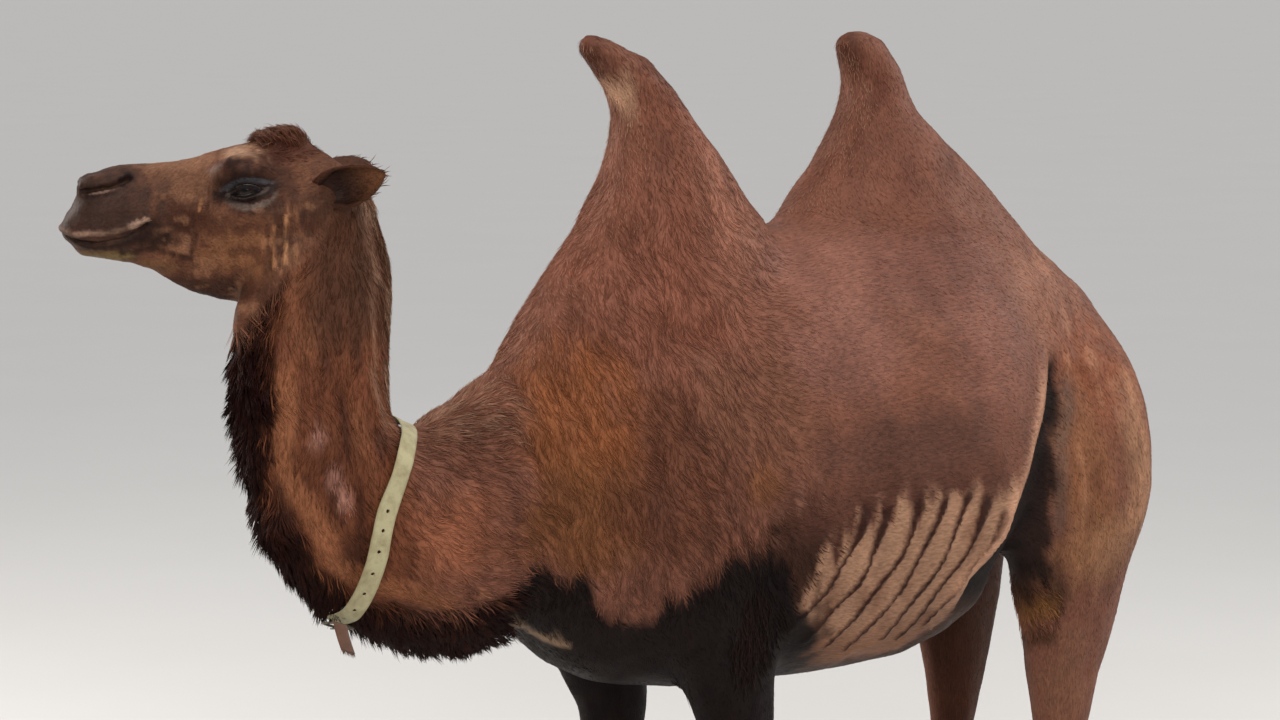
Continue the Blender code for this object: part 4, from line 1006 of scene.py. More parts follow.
# ---------------------------------------------------------------------------
# Materials
# ---------------------------------------------------------------------------
class Nodes:
    """A material's node tree with short ways to add and join nodes."""

    def __init__(self, name):
        self.material = bpy.data.materials.new(name)
        self.material.use_nodes = True
        self.tree = self.material.node_tree
        self.shader = self.tree.nodes["Principled BSDF"]

    def add(self, kind, inputs=None, **settings):
        node = self.tree.nodes.new(kind)
        for key, value in settings.items():
            setattr(node, key, value)
        for key, value in (inputs or {}).items():
            self.feed(node.inputs[key], value)
        return node

    def feed(self, socket, value):
        if isinstance(value, bpy.types.NodeSocket):
            self.tree.links.new(value, socket)
        else:
            socket.default_value = value

    def noise(self, scale, detail=3.0, roughness=0.6, stretch=(1, 1, 1)):
        source = self.add("ShaderNodeTexCoord").outputs["Object"]
        mapped = self.add("ShaderNodeMapping", {"Vector": source, "Scale": stretch})
        return self.add("ShaderNodeTexNoise", {"Vector": mapped.outputs[0], "Scale": scale, "Detail": detail,
                                               "Roughness": roughness}).outputs["Fac"]

    def between(self, value, low, high):
        """The value mapped from low to high, each (from, to)."""
        return self.add("ShaderNodeMapRange", {"Value": value, "From Min": low[0], "From Max": high[0],
                                               "To Min": low[1], "To Max": high[1]}).outputs[0]

    def mixed(self, factor, a, b, mode="MIX"):
        node = self.add("ShaderNodeMix", data_type="RGBA", blend_type=mode)
        for index, value in ((0, factor), (6, a), (7, b)):
            self.feed(node.inputs[index], value)
        return node.outputs[2]

    def calc(self, a, b, operation="ADD"):
        return self.add("ShaderNodeMath", {0: a, 1: b}, operation=operation).outputs[0]

    def bump(self, height, strength, distance):
        node = self.add("ShaderNodeBump", {"Height": height, "Strength": strength, "Distance": distance})
        return node.outputs[0]

    def settle(self, **values):
        names = {"colour": "Base Color", "roughness": "Roughness", "normal": "Normal", "metallic": "Metallic",
                 "sheen": "Sheen Weight", "sheen_roughness": "Sheen Roughness", "sheen_tint": "Sheen Tint",
                 "coat": "Coat Weight", "coat_roughness": "Coat Roughness", "specular": "Specular IOR Level",
                 "subsurface": "Subsurface Weight", "ior": "IOR"}
        for key, value in values.items():
            self.feed(self.shader.inputs[names[key]], value)
        return self.material


def grey(level):
    return (level, level, level, 1.0)


def coat_material():
    n = Nodes("coat_hair")
    marks = n.add("ShaderNodeAttribute", attribute_name="marks").outputs["Color"]
    strand = n.noise(900, detail=2.0)
    dark, pale = (n.mixed(1.0, marks, grey(level), "MULTIPLY") for level in (0.80, 1.16))
    colour = n.mixed(n.between(strand, (0.3, 0.0), (0.7, 1.0)), dark, pale)
    roughness = n.between(n.noise(60), (0.3, 0.50), (0.7, 0.66))
    return n.settle(colour=colour, roughness=roughness, specular=0.08, sheen=0.015, sheen_roughness=0.40,
                    sheen_tint=(0.90, 0.76, 0.72, 1.0), normal=n.bump(strand, 0.2, 0.0005))


def skin_material():
    """Hide under short hair that lies along the back or down the limbs, as the attribute tells."""
    n = Nodes("hide")
    marks = n.add("ShaderNodeAttribute", attribute_name="marks").outputs["Color"]
    hanging = n.add("ShaderNodeAttribute", attribute_name="hanging").outputs["Fac"]
    level = n.noise(300, detail=4.0, stretch=(0.16, 1.0, 0.75))
    upright = n.noise(300, detail=4.0, stretch=(1.0, 1.0, 0.16))
    strands = n.calc(n.calc(level, n.calc(1.0, hanging, "SUBTRACT"), "MULTIPLY"),
                    n.calc(upright, hanging, "MULTIPLY"))
    pores = n.noise(1500, detail=2.0)
    wrinkles = n.noise(110, detail=5.0, roughness=0.7, stretch=(1.0, 1.0, 0.6))
    dark, pale = (n.mixed(1.0, marks, grey(share), "MULTIPLY") for share in (0.70, 1.18))
    colour = n.mixed(n.between(strands, (0.35, 0.0), (0.65, 1.0)), dark, pale)
    height = n.calc(n.calc(strands, 0.9, "MULTIPLY"), n.calc(n.calc(pores, 0.15, "MULTIPLY"),
                                                          n.calc(wrinkles, 0.4, "MULTIPLY")))
    roughness = n.between(n.noise(40), (0.3, 0.48), (0.7, 0.64))
    return n.settle(colour=colour, roughness=roughness, specular=0.10, sheen=0.015, sheen_roughness=0.45,
                    sheen_tint=(0.90, 0.78, 0.74, 1.0), normal=n.bump(height, 0.5, 0.0020))


def eye_material():
    """Dark brown iris with a level oval pupil, by the place on the eyeball's own axes."""
    n = Nodes("eyeball")
    place = n.add("ShaderNodeAttribute", attribute_name="gaze").outputs["Vector"]
    split = n.add("ShaderNodeSeparateXYZ", {0: place})
    u, v = split.outputs["X"], split.outputs["Y"]
    across = n.calc(n.calc(u, 0.62, "MULTIPLY"), 2.0, "POWER")
    oval = n.calc(n.calc(across, n.calc(v, 2.0, "POWER")), 0.5, "POWER")
    ring = n.calc(n.calc(n.calc(u, 2.0, "POWER"), n.calc(v, 2.0, "POWER")), 0.5, "POWER")
    fibres = n.noise(240, detail=4.0)
    iris = n.mixed(fibres, (0.010, 0.005, 0.004, 1), (0.034, 0.017, 0.010, 1))
    inner = n.mixed(n.between(oval, (0.18, 0.0), (0.24, 1.0)), (0.003, 0.003, 0.004, 1), iris)
    white = n.mixed(n.noise(120), (0.016, 0.010, 0.008, 1), (0.034, 0.022, 0.018, 1))
    colour = n.mixed(n.between(ring, (0.62, 0.0), (0.72, 1.0)), inner, white)
    return n.settle(colour=colour, roughness=0.10, specular=0.14, coat=0.12, coat_roughness=0.03,
                    normal=n.bump(fibres, 0.05, 0.0003))


def wet_rim_material():
    n = Nodes("lid_rim")
    grain = n.noise(500)
    colour = n.mixed(grain, (0.016, 0.012, 0.012, 1), (0.050, 0.040, 0.040, 1))
    return n.settle(colour=colour, roughness=n.between(grain, (0.3, 0.22), (0.7, 0.42)), specular=0.5,
                    normal=n.bump(grain, 0.3, 0.0004))


def horn_material():
    n = Nodes("nail_horn")
    rings = n.noise(160, detail=3.0, stretch=(1.6, 0.3, 0.3))
    scratch = n.noise(700, detail=2.0, stretch=(0.3, 1.0, 1.0))
    colour = n.mixed(n.between(rings, (0.35, 0.0), (0.65, 1.0)), (0.022, 0.017, 0.014, 1),
                     (0.115, 0.088, 0.066, 1))
    return n.settle(colour=colour, roughness=n.between(scratch, (0.3, 0.42), (0.7, 0.68)), specular=0.4,
                    normal=n.bump(n.calc(rings, n.calc(scratch, 0.4, "MULTIPLY")), 0.4, 0.0010))


def webbing_material(name, base, dark):
    """A flat weave by the strap's own map, in metres along it and across."""
    n = Nodes(name)
    uv = n.add("ShaderNodeAttribute", attribute_name="weave").outputs["Vector"]
    split = n.add("ShaderNodeSeparateXYZ", {0: uv})
    along, across = split.outputs["X"], split.outputs["Y"]
    pitch = 2 * math.pi / 0.0019     # one yarn every 1.9 mm
    warp = n.calc(n.calc(across, pitch, "MULTIPLY"), 0.0, "SINE")
    weft = n.calc(n.calc(along, pitch, "MULTIPLY"), 0.0, "SINE")
    weave = n.calc(warp, weft, "MULTIPLY")
    soil = n.noise(34, detail=5.0, roughness=0.65)
    edge = n.between(n.calc(across, 0.0, "ABSOLUTE"), (0.0150, 0.0), (0.0195, 1.0))
    clean = n.mixed(n.between(weave, (-0.8, 0.0), (0.8, 1.0)), n.mixed(0.35, base, dark), base)
    worn = n.mixed(n.between(soil, (0.42, 0.0), (0.72, 0.75)), clean, dark)
    colour = n.mixed(n.calc(edge, 0.45, "MULTIPLY"), worn, dark)
    height = n.calc(weave, n.calc(n.noise(420), 0.5, "MULTIPLY"))
    return n.settle(colour=colour, roughness=n.between(soil, (0.3, 0.70), (0.7, 0.90)), specular=0.25,
                    sheen=0.15, sheen_roughness=0.5, normal=n.bump(height, 0.6, 0.0005))


def steel_material():
    n = Nodes("buckle_steel")
    tarnish = n.noise(150, detail=5.0, roughness=0.7)
    colour = n.mixed(n.between(tarnish, (0.40, 0.0), (0.62, 1.0)), (0.115, 0.098, 0.062, 1),
                     (0.034, 0.027, 0.017, 1))
    return n.settle(colour=colour, metallic=0.7, roughness=n.between(tarnish, (0.35, 0.34), (0.65, 0.62)),
                    normal=n.bump(n.noise(520), 0.3, 0.0004))


def floor_material():
    n = Nodes("studio_floor")
    cloud = n.noise(1.2, detail=3.0)
    colour = n.mixed(cloud, (0.515, 0.505, 0.495, 1), (0.540, 0.532, 0.522, 1))
    return n.settle(colour=colour, roughness=0.85, specular=0.2)


# ---------------------------------------------------------------------------
# The coat
# ---------------------------------------------------------------------------
class Hide:
    """The finished skin as arrays, with an unwrap of a light copy of it for the tufts' maps."""

    def __init__(self, skin):
        mesh = skin.data
        self.tris = triangles_of(mesh)
        self.co = coordinates(mesh) - BODY
        self.normal = vertex_normals(mesh)
        self.ear = attribute(mesh, "ear")
        self.ear_inside = attribute(mesh, "ear_inside")
        corners = self.co[self.tris]
        cross = np.cross(corners[:, 1] - corners[:, 0], corners[:, 2] - corners[:, 0])
        self.area = np.linalg.norm(cross, axis=1) / 2
        self.middle = corners.mean(axis=1)
        self.tree = BVHTree.FromPolygons(self.co.tolist(), self.tris.tolist())
        self.unwrap(skin)

    def unwrap(self, skin):
        copy = scene_object("unwrap", skin.data.copy())
        simplify = copy.modifiers.new("simplify", "DECIMATE")
        simplify.ratio = UNWRAP_TRIANGLES / len(self.tris)
        light = evaluated(copy)
        bpy.data.objects.remove(copy)
        copy = scene_object("unwrap", light)
        bpy.ops.object.select_all(action="DESELECT")
        bpy.context.view_layer.objects.active = copy
        copy.select_set(True)
        bpy.ops.object.mode_set(mode="EDIT")
        bpy.ops.mesh.select_all(action="SELECT")
        bpy.ops.uv.smart_project(angle_limit=math.radians(66), island_margin=0.004)
        bpy.ops.object.mode_set(mode="OBJECT")
        light = copy.data
        uv = np.empty(len(light.loops) * 2, np.float32)
        light.uv_layers[0].uv.foreach_get("vector", uv)
        self.light_co = coordinates(light) - BODY
        self.light_tris = triangles_of(light)
        self.light_uv = uv.reshape(-1, 2)[triangles_of(light, "loops")]
        self.light_tree = BVHTree.FromPolygons(self.light_co.tolist(), self.light_tris.tolist())
        bpy.data.objects.remove(copy)

    def uv_at(self, points):
        """The place of each point on the unwrap."""
        found = np.array([self.light_tree.find_nearest(p)[2] for p in points.tolist()])
        a, b, c = (self.light_co[self.light_tris[found, k]] for k in range(3))
        ab, ac, ap = b - a, c - a, points - a
        d00, d01, d11 = (ab * ab).sum(1), (ab * ac).sum(1), (ac * ac).sum(1)
        d20, d21 = (ap * ab).sum(1), (ap * ac).sum(1)
        bottom = np.maximum(d00 * d11 - d01 * d01, 1e-14)
        v = np.clip((d11 * d20 - d01 * d21) / bottom, 0, 1)
        w = np.clip((d00 * d21 - d01 * d20) / bottom, 0, 1 - v)
        corner = self.light_uv[found]
        return corner[:, 0] * (1 - v - w)[:, None] + corner[:, 1] * v[:, None] + corner[:, 2] * w[:, None]

    def scatter(self, count, density):
        """Roots spread evenly over the skin, by a density at each triangle's middle."""
        weight = self.area * density
        cell = np.floor(self.middle / 0.03)
        order = np.argsort(cell[:, 0] * 997 + cell[:, 2] * 31 + cell[:, 1], kind="stable")
        total = np.cumsum(weight[order])
        pick = (np.arange(count) + RNG.random(count)) / count * total[-1]
        chosen = order[np.minimum(np.searchsorted(total, pick), len(order) - 1)]
        r1, r2 = np.sqrt(RNG.random(count)), RNG.random(count)
        bary = np.stack([1 - r1, r1 * (1 - r2), r1 * r2], axis=1)[:, :, None]
        corners = self.tris[chosen]
        place = (self.co[corners] * bary).sum(axis=1)
        normal = unit((self.normal[corners] * bary).sum(axis=1))
        ear = (self.ear[corners] * bary[:, :, 0]).sum(axis=1)
        inside = (self.ear_inside[corners] * bary[:, :, 0]).sum(axis=1)
        return place, normal, ear, inside


def lie(p, normal, ear):
    """The way the hair lies at each point, in the surface."""
    q = flank_side(p)
    way = np.tile(np.array((1.0, 0.0, -0.50)), (len(p), 1))

    def turn(target, weight):
        nonlocal way
        way = way + (np.asarray(target) - way) * np.clip(weight, 0, 1)[:, None]

    turn((0.42, 0.0, -1.0), ramp(p[:, 0], 0.22, 0.02))
    turn((0.34, 0.0, -1.0), ramp(p[:, 2], 1.66, 1.80))
    turn((0.40, 0.0, -1.0), ramp(p[:, 0], 0.86, 0.98))
    turn((1.0, 0.0, -0.15), bare_belly(q) * 0.4)
    _, down, front, _ = on_neck(p)
    neck = is_neck(p)
    turn(down + np.array((0, 0, -0.35)), neck)
    turn(down * 0.9 + front * 0.35 + np.array((0, 0, -0.75)), is_mane(p))
    turn((0.10, 0.0, -1.0), is_leg(p))
    turn((0.25, 0.0, -1.0), ramp(p[:, 0], 1.33, 1.36))
    head = is_head(p)
    h = to_head(p)
    back = np.stack([-np.ones(len(p)), 0.10 * np.sign(h[:, 1]),
                     -0.30 - 0.9 * ramp(h[:, 0], 0.14, 0.02) * ramp(h[:, 2], 0.12, 0.04)], axis=1)
    turn(back @ HEAD_AXES.T, head)
    crown = head * spot(flank_side(h), CROWN, (0.085, 0.07, 0.06))
    turn(np.array((0.55, 0.0, 0.35)) @ HEAD_AXES.T, crown * 0.8)
    mirror = np.stack([np.ones(len(p)), np.sign(h[:, 1]), np.ones(len(p))], axis=1)
    outward = (EAR_TIP - EAR_ROOT)[None, :] * mirror
    turn(unit(outward) @ HEAD_AXES.T, ear)
    sway = 0.60 * noise(p, 0.060, 71) + 0.38 * noise(p, 0.022, 72)
    sway = sway + 2.6 * crown * noise(p, 0.016, 73)
    sway = sway * (1 - 0.65 * head) * (1 - 0.62 * ramp(p[:, 0], 0.10, 0.35))
    sway = sway * (1 - 0.5 * ramp(p[:, 2], 1.74, 1.90))
    way = flat(way, normal)
    side = np.cross(normal, way)
    return unit(way * np.cos(sway)[:, None] + side * np.sin(sway)[:, None])


def tufts(name, hide, place, normal, way, length, width, lift, wave, root_tone, tip_tone, rings=2,
          sink=0.0015, follow=True):
    """One mesh of thin closed tufts, each a three-sided blade that lies along way and ends in a point.

    lift is how far the point stands off the skin, wave how far the blade bends to the side, and
    sink how deep its root is; it follows the skin under it if follow is true.
    """
    count = len(place)
    side = np.cross(normal, way)
    reach = place + way * length[:, None]
    drop = np.zeros(count)
    if follow:
        ends = [hide.tree.find_nearest(p)[0] for p in reach.tolist()]
        drop = ((np.array(ends) - reach) * normal).sum(axis=1)
        drop = np.clip(drop, -0.5 * length, 0.35 * length)
    shares = np.linspace(0, 1, rings + 1)[:-1]
    phase = RNG.random(count) * 2 * math.pi
    verts, across_uv, along_uv = [], [], []

    def middle(s):
        height = -sink * (1 - s) + drop * s * s + lift * (s ** 0.8)
        sway = wave * np.sin(phase + 5.5 * s) * s
        return place + way * (length * s)[:, None] + normal * height[:, None] + side * sway[:, None]

    for s in shares:
        centre = middle(s)
        half = side * (width * 0.5 * (0.75 + 0.55 * s - 0.85 * s * s))[:, None]
        thick = normal * (width * 0.24 * (1 - 0.5 * s))[:, None]
        verts += [centre - half, centre + thick, centre + half]
        across_uv += [0.0, 0.5, 1.0]
        along_uv += [s] * 3
    verts.append(middle(1.0))
    across_uv.append(0.5)
    along_uv.append(1.0)
    per = len(verts)
    points = np.stack(verts, axis=1).reshape(-1, 3)
    pattern = [(0, 2, 1)]
    for i in range(rings - 1):
        for j in range(3):
            k = (j + 1) % 3
            a, b, c, d = 3 * i + j, 3 * i + k, 3 * i + 3 + k, 3 * i + 3 + j
            pattern += [(a, b, c), (a, c, d)]
    last = 3 * (rings - 1)
    pattern += [(last + j, last + (j + 1) % 3, per - 1) for j in range(3)]
    pattern = np.array(pattern)
    faces = (pattern[None] + (np.arange(count) * per)[:, None, None]).reshape(-1, 3)
    mesh = bpy.data.meshes.new(name)
    mesh.vertices.add(len(points))
    mesh.vertices.foreach_set("co", (points + BODY).ravel().astype(np.float32))
    mesh.loops.add(faces.size)
    mesh.loops.foreach_set("vertex_index", faces.ravel().astype(np.int32))
    mesh.polygons.add(len(faces))
    mesh.polygons.foreach_set("loop_start", np.arange(0, faces.size, 3, dtype=np.int32))
    mesh.update(calc_edges=True)
    mesh.shade_smooth()
    along = np.array(along_uv)
    tint = root_tone[:, None, :] + (tip_tone - root_tone)[:, None, :] * along[None, :, None]
    set_colours(mesh, tint.reshape(-1, 3))
    uv_root = hide.uv_at(place)
    patch = np.stack([np.array(across_uv) - 0.5, along - 0.5], axis=1) * TUFT_PATCH
    uv = (uv_root[:, None, :] + patch[None]).reshape(-1, 2)[faces.ravel()]
    layer = mesh.uv_layers.new(name="OFBake")
    layer.uv.foreach_set("vector", uv.ravel().astype(np.float32))
    return scene_object(name, mesh)


def keep_clear(p, ear):
    """False in the eyes, nostrils and mouth, on the breast fold, under the collar and by the soles."""
    h = flank_side(to_head(p))
    head = is_head(p) > 0.5
    u, v, out = eye_frame(h)
    clear = ~(head & (lid_shape(u, v) < 1.5) & (out > 0) & (ear < 0.5))
    clear &= ~(head & (near_line(h, NOSTRIL)[0] < 0.0052))
    clear &= ~(head & (near_line(h, MOUTH)[0] < 0.0042))
    clear &= near_line(flank_side(p), BREAST_FOLD)[0] > 0.013
    r = (p - COLLAR_CENTRE) @ collar_axes()
    along = r[:, 0] - strap_sway(np.arctan2(r[:, 2], r[:, 1]))
    clear &= ~((np.abs(along) < 0.019) & (np.linalg.norm(r, axis=1) < 0.36))
    return clear & (p[:, 2] > 0.012)


REGIONS = ("coat_head", "coat_neck", "coat_shoulder", "coat_hump_front", "coat_flank_left",
           "coat_flank_right", "coat_rear", "coat_legs")


def region_of(p):
    """The place in REGIONS of the coat piece that each root belongs to."""
    region = np.where(p[:, 1] < 0, 4, 5)
    region[p[:, 0] < 0.20] = 2
    region[(p[:, 2] > 1.62) & (p[:, 0] < 0.36)] = 3
    region[p[:, 0] > 0.88] = 6
    region[(p[:, 2] > 1.66) & (p[:, 0] >= 0.36)] = 6
    region[p[:, 2] < 0.86] = 7
    region[is_neck(p) > 0.5] = 1
    region[is_head(p) > 0.5] = 0
    return region


def grow_coat(hide, material):
    """The short coat over the whole body: sleek behind, longer, wavier and clumped in front."""
    pieces = []
    middle = hide.middle
    density = np.ones(len(middle))
    density += 0.9 * ramp(middle[:, 0], 0.30, 0.05)
    density += (4.6 - density) * is_head(middle)
    density += (1.7 - density) * is_leg(middle)
    density *= 1 - 0.96 * bare_belly(flank_side(middle))
    place, normal, ear, inside = hide.scatter(COAT_TUFTS, density)
    keep = keep_clear(place, ear)
    place, normal, ear, inside = (a[keep] for a in (place, normal, ear, inside))
    way = lie(place, normal, ear)
    q = flank_side(place)
    h = flank_side(to_head(place))
    head, neck, leg, mane = is_head(place), is_neck(place), is_leg(place), is_mane(place)
    bare = bare_belly(q)
    woolly = ramp(place[:, 0], 0.30, 0.02) * (1 - head) * ramp(place[:, 2], 0.95, 1.05)
    woolly *= (1 - 0.75 * neck * ramp(place[:, 0], -0.62, -0.70)) * (1 - 0.85 * ramp(place[:, 2], 1.74, 1.90))
    crown = head * spot(h, CROWN, (0.075, 0.06, 0.05))
    muzzle = head * ramp(h[:, 0], 0.22, 0.32)
    count = len(place)
    length = 0.021 + 0.015 * woolly
    length = length + (0.025 - length) * neck * (1 - woolly)
    length = length + (0.016 - length) * leg
    length = length + (0.0120 - length) * head * (1 - crown)
    length = length + (0.0065 - length) * muzzle
    length = length + (0.030 - length) * crown
    length = length + (0.010 - length) * bare
    length = length + (0.019 - length) * (ear > 0.5)
    length = length * ramp(place[:, 2], -0.02, 0.10)
    length *= 0.72 + 0.5 * RNG.random(count)
    centre, own = clumps(place, 0.024, 5)
    pull = centre + way * 0.030 - (place + way * length[:, None])
    pull = flat(pull, normal) * np.minimum(np.linalg.norm(pull, axis=1), 0.012)[:, None]
    gather = (0.20 + 0.30 * woolly) * (1 - head) + 0.25 * head * (1 - muzzle)
    way = unit(way * length[:, None] + pull * gather[:, None])
    way = flat(way, normal)
    width = (0.0019 + 0.0004 * woolly) * (1 - 0.45 * head) * (1 - 0.1 * leg)
    width *= 0.8 + 0.45 * RNG.random(count)
    lift = 0.0013 + 0.0026 * woolly + 0.0008 * neck
    lift = lift * (1 - head) + 0.0009 * head + 0.010 * crown
    lift *= 0.55 + 0.9 * RNG.random(count) ** 2
    lift *= (1 - 0.4 * leg) * (1 - 0.6 * bare)
    stray = (RNG.random(count) < 0.02 * woolly) & (head < 0.5)
    lift[stray] += 0.006 * RNG.random(stray.sum())
    wave = (0.0008 + 0.0036 * woolly) * (1 - 0.8 * head)
    marks = marked(place, ear, inside)
    vary = 1 + (0.16 + 0.16 * woolly) * (RNG.random(count) - 0.5) + (0.10 + 0.10 * woolly) * (own - 0.5)
    contrast = 0.10 + 0.10 * woolly - 0.05 * head
    root = marks * (vary * (1 - contrast))[:, None]
    tip = marks * (vary * (1.02 + contrast))[:, None]
    region = region_of(place)
    for k, name in enumerate(REGIONS):
        chosen = np.nonzero((region == k) & (mane < 0.75))[0]
        if len(chosen) > PIECE_TUFTS:
            chosen = np.sort(RNG.permutation(chosen)[:PIECE_TUFTS])
        piece = tufts(name, hide, *(a[chosen] for a in (place, normal, way, length, width, lift)),
                      wave[chosen], root[chosen], tip[chosen])
        piece.data.materials.append(material)
        pieces.append(piece)
    return pieces


def fringes(hide):
    """Of each: how many, where, length, width, rise, how far they stand out, root, tip and paleness."""
    middle = hide.middle
    q = flank_side(middle)
    crown = is_head(middle) * spot(flank_side(to_head(middle)), (0.048, 0.0, 0.200), (0.060, 0.055, 0.045))
    _, _, front, offset = on_neck(middle)
    behind = -(offset * front).sum(axis=1)
    nape = is_neck(middle) * ramp(behind, 0.080, 0.115) * ramp(middle[:, 2], 1.30, 1.42)
    edge = hide.normal[hide.tris].mean(axis=1)
    hump_edge = ramp(-edge[:, 0], 0.50, 0.85) * ramp(np.abs(middle[:, 1]), 0.12, 0.05)
    hump_edge *= (1 - is_head(middle)) * ramp(middle[:, 0], -0.56, -0.50)
    hump_edge = hump_edge * ramp(middle[:, 2], 1.38, 1.50)
    tail = ramp(middle[:, 0], 1.345, 1.36) * ramp(middle[:, 2], 1.16, 1.02)
    elbow = spot(q, (0.09, 0.24, 0.93), (0.07, 0.09, 0.09)) + spot(q, (0.02, 0.14, 0.86), (0.06, 0.06, 0.06))
    stifle = spot(q, (0.90, 0.22, 0.87), (0.06, 0.10, 0.08))
    sheath = spot(q, (0.60, 0.03, 0.79), (0.06, 0.07, 0.05))
    return (
        (1700, crown, 0.030, 0.0022, 0.010, 0.40, 0.8, 1.5, 0.05),
        # The pale tips of the nape and of the humps' front edges are a painted backlit rim.
        (2200, nape, 0.040, 0.0022, 0.005, 0.14, 0.8, 1.4, 0.15),
        (3200, hump_edge, 0.018, 0.0011, 0.004, 0.80, 1.1, 1.6, 0.35),
        (900, tail, 0.085, 0.0034, 0.004, 0.10, 0.7, 1.2, 0.0),
        (1000, np.clip(elbow, 0, 1), 0.042, 0.0030, 0.006, 0.22, 0.9, 2.2, 0.0),
        (800, stifle, 0.030, 0.0028, 0.006, 0.25, 0.8, 1.5, 0.0),
        (450, sheath, 0.055, 0.0028, 0.000, 0.55, 1.2, 2.2, 0.2),
    )


def grow_long(hide, material):
    """The hanging mane, and in one piece the forelock, the nape and the fringes."""
    middle = hide.middle
    place, normal, ear, _ = hide.scatter(MANE_TUFTS, is_mane(middle) ** 2)
    keep = keep_clear(place, ear)
    place, normal, ear = place[keep], normal[keep], ear[keep]
    count = len(place)
    way = lie(place, normal, ear)
    centre, own = clumps(place, 0.018, 15)
    way = unit(way + flat(centre - place, normal) * 0.20 + normal * (0.30 + 0.30 * own)[:, None])
    length = 0.044 + 0.020 * own * RNG.random(count)
    marks = markings(place) * (0.75 + 0.5 * RNG.random(count))[:, None]
    width = 0.0030 * (0.8 + 0.5 * RNG.random(count))
    mane = tufts("coat_mane", hide, place, normal, way, length, width, np.full(count, -0.004),
                 np.full(count, 0.0034), marks * 0.9, marks * 1.5, rings=3, follow=False)
    mane.data.materials.append(material)
    parts = []
    for number, weight, reach, breadth, rise, stand, low, high, paleness in fringes(hide):
        place, normal, ear, _ = hide.scatter(number, weight)
        keep = keep_clear(place, ear)
        place, normal = place[keep], normal[keep]
        count = len(place)
        way = lie(place, normal, np.zeros(count))
        centre, own = clumps(place, 0.020, 25)
        way = unit(way + flat(centre - place, normal) * 0.25 + normal * (stand * RNG.random(count))[:, None])
        marks = markings(place) * (0.80 + 0.4 * RNG.random(count))[:, None]
        # paleness blends each tip to a pale tone; on the nape and the humps' front edges that is a painted
        # backlit rim.
        parts.append((place, normal, way, reach * (0.6 + 0.6 * RNG.random(count)),
                      breadth * (0.8 + 0.5 * RNG.random(count)), rise * RNG.random(count),
                      np.full(count, 0.0022), marks * low,
                      marks * high * (1 - paleness) + tone(206, 176, 146) * paleness))
    joined = [np.concatenate(column) for column in zip(*parts)]
    fringe = tufts("coat_fringes", hide, *joined, rings=3)
    fringe.data.materials.append(material)
    return [mane, fringe]


# ---------------------------------------------------------------------------
# Eyes, lashes and nails
# ---------------------------------------------------------------------------
def eye_axes(side):
    out = unit(EYE_LOOK * (1, side, 1))
    up = unit(np.array((0, 0, 1.0)) - out * out[2])
    return np.cross(up, out), up, out


def build_eye(side, name, material):
    """A wet eyeball with a bulging cornea."""
    bm = bmesh.new()
    bmesh.ops.create_uvsphere(bm, u_segments=64, v_segments=40, radius=1.0)
    gaze = bm.verts.layers.float_vector.new("gaze")
    ahead, up, out = eye_axes(side)
    centre = EYE_PLACE * (1, side, 1)
    for vertex in bm.verts:
        x, y, z = vertex.co
        vertex[gaze] = (x, y, z)
        bulge = EYE_RADIUS * (1 + 0.035 * ramp(np.array(z), 0.72, 0.92))
        local = (ahead * x + up * y + out * z) * bulge
        vertex.co = Vector(from_head(centre + local) + BODY)
    bmesh.ops.recalc_face_normals(bm, faces=bm.faces)
    return mesh_object(name, bm, material)


def rim_point(side, angle, grow, reach):
    """A point on the edge of the lids so far from the eyeball's middle, its way out, the eye's axes."""
    c, s = math.cos(angle), math.sin(angle)
    rise = LID_RISE[0] if s > 0 else LID_RISE[1]
    u = LID_REACH * math.copysign(abs(c) ** (2 / LID_POWERS[0]), c) * grow
    v = rise * math.copysign(abs(s) ** (2 / LID_POWERS[1]), s) * grow - LID_DROP
    c, s = math.cos(EYE_SLANT), math.sin(EYE_SLANT)
    u, v = u * c + v * s, -u * s + v * c
    ahead, up, out = eye_axes(side)
    forward = ahead * (1 if ahead[0] > 0 else -1)
    depth = math.sqrt(max(reach ** 2 - u ** 2 - v ** 2, 0.0))
    local = forward * u + up * v + out * depth
    place = from_head(EYE_PLACE * (1, side, 1) + local)
    return place, from_head(local) - from_head(np.zeros(3)), (forward, up, out)


def build_rims(material):
    """The dark moist edge of each pair of lids, as a closed tube."""
    radius = 0.0017
    bm = bmesh.new()
    for side in (1, -1):
        rings = []
        for angle in np.linspace(0, 2 * math.pi, 56, endpoint=False):
            middle, outward, _ = rim_point(side, angle, 1.03, EYE_RADIUS + 0.0012)
            inner, _, _ = rim_point(side, angle, 0.90, EYE_RADIUS + 0.0012)
            across, rise = unit(middle - inner) * radius, unit(outward) * radius
            rings.append([bm.verts.new(middle + BODY + across * math.cos(t) + rise * math.sin(t))
                          for t in np.linspace(0, 2 * math.pi, 8, endpoint=False)])
        bridge(bm, rings, closed=True)
    bmesh.ops.recalc_face_normals(bm, faces=bm.faces)
    return mesh_object("lid_rims", bm, material)


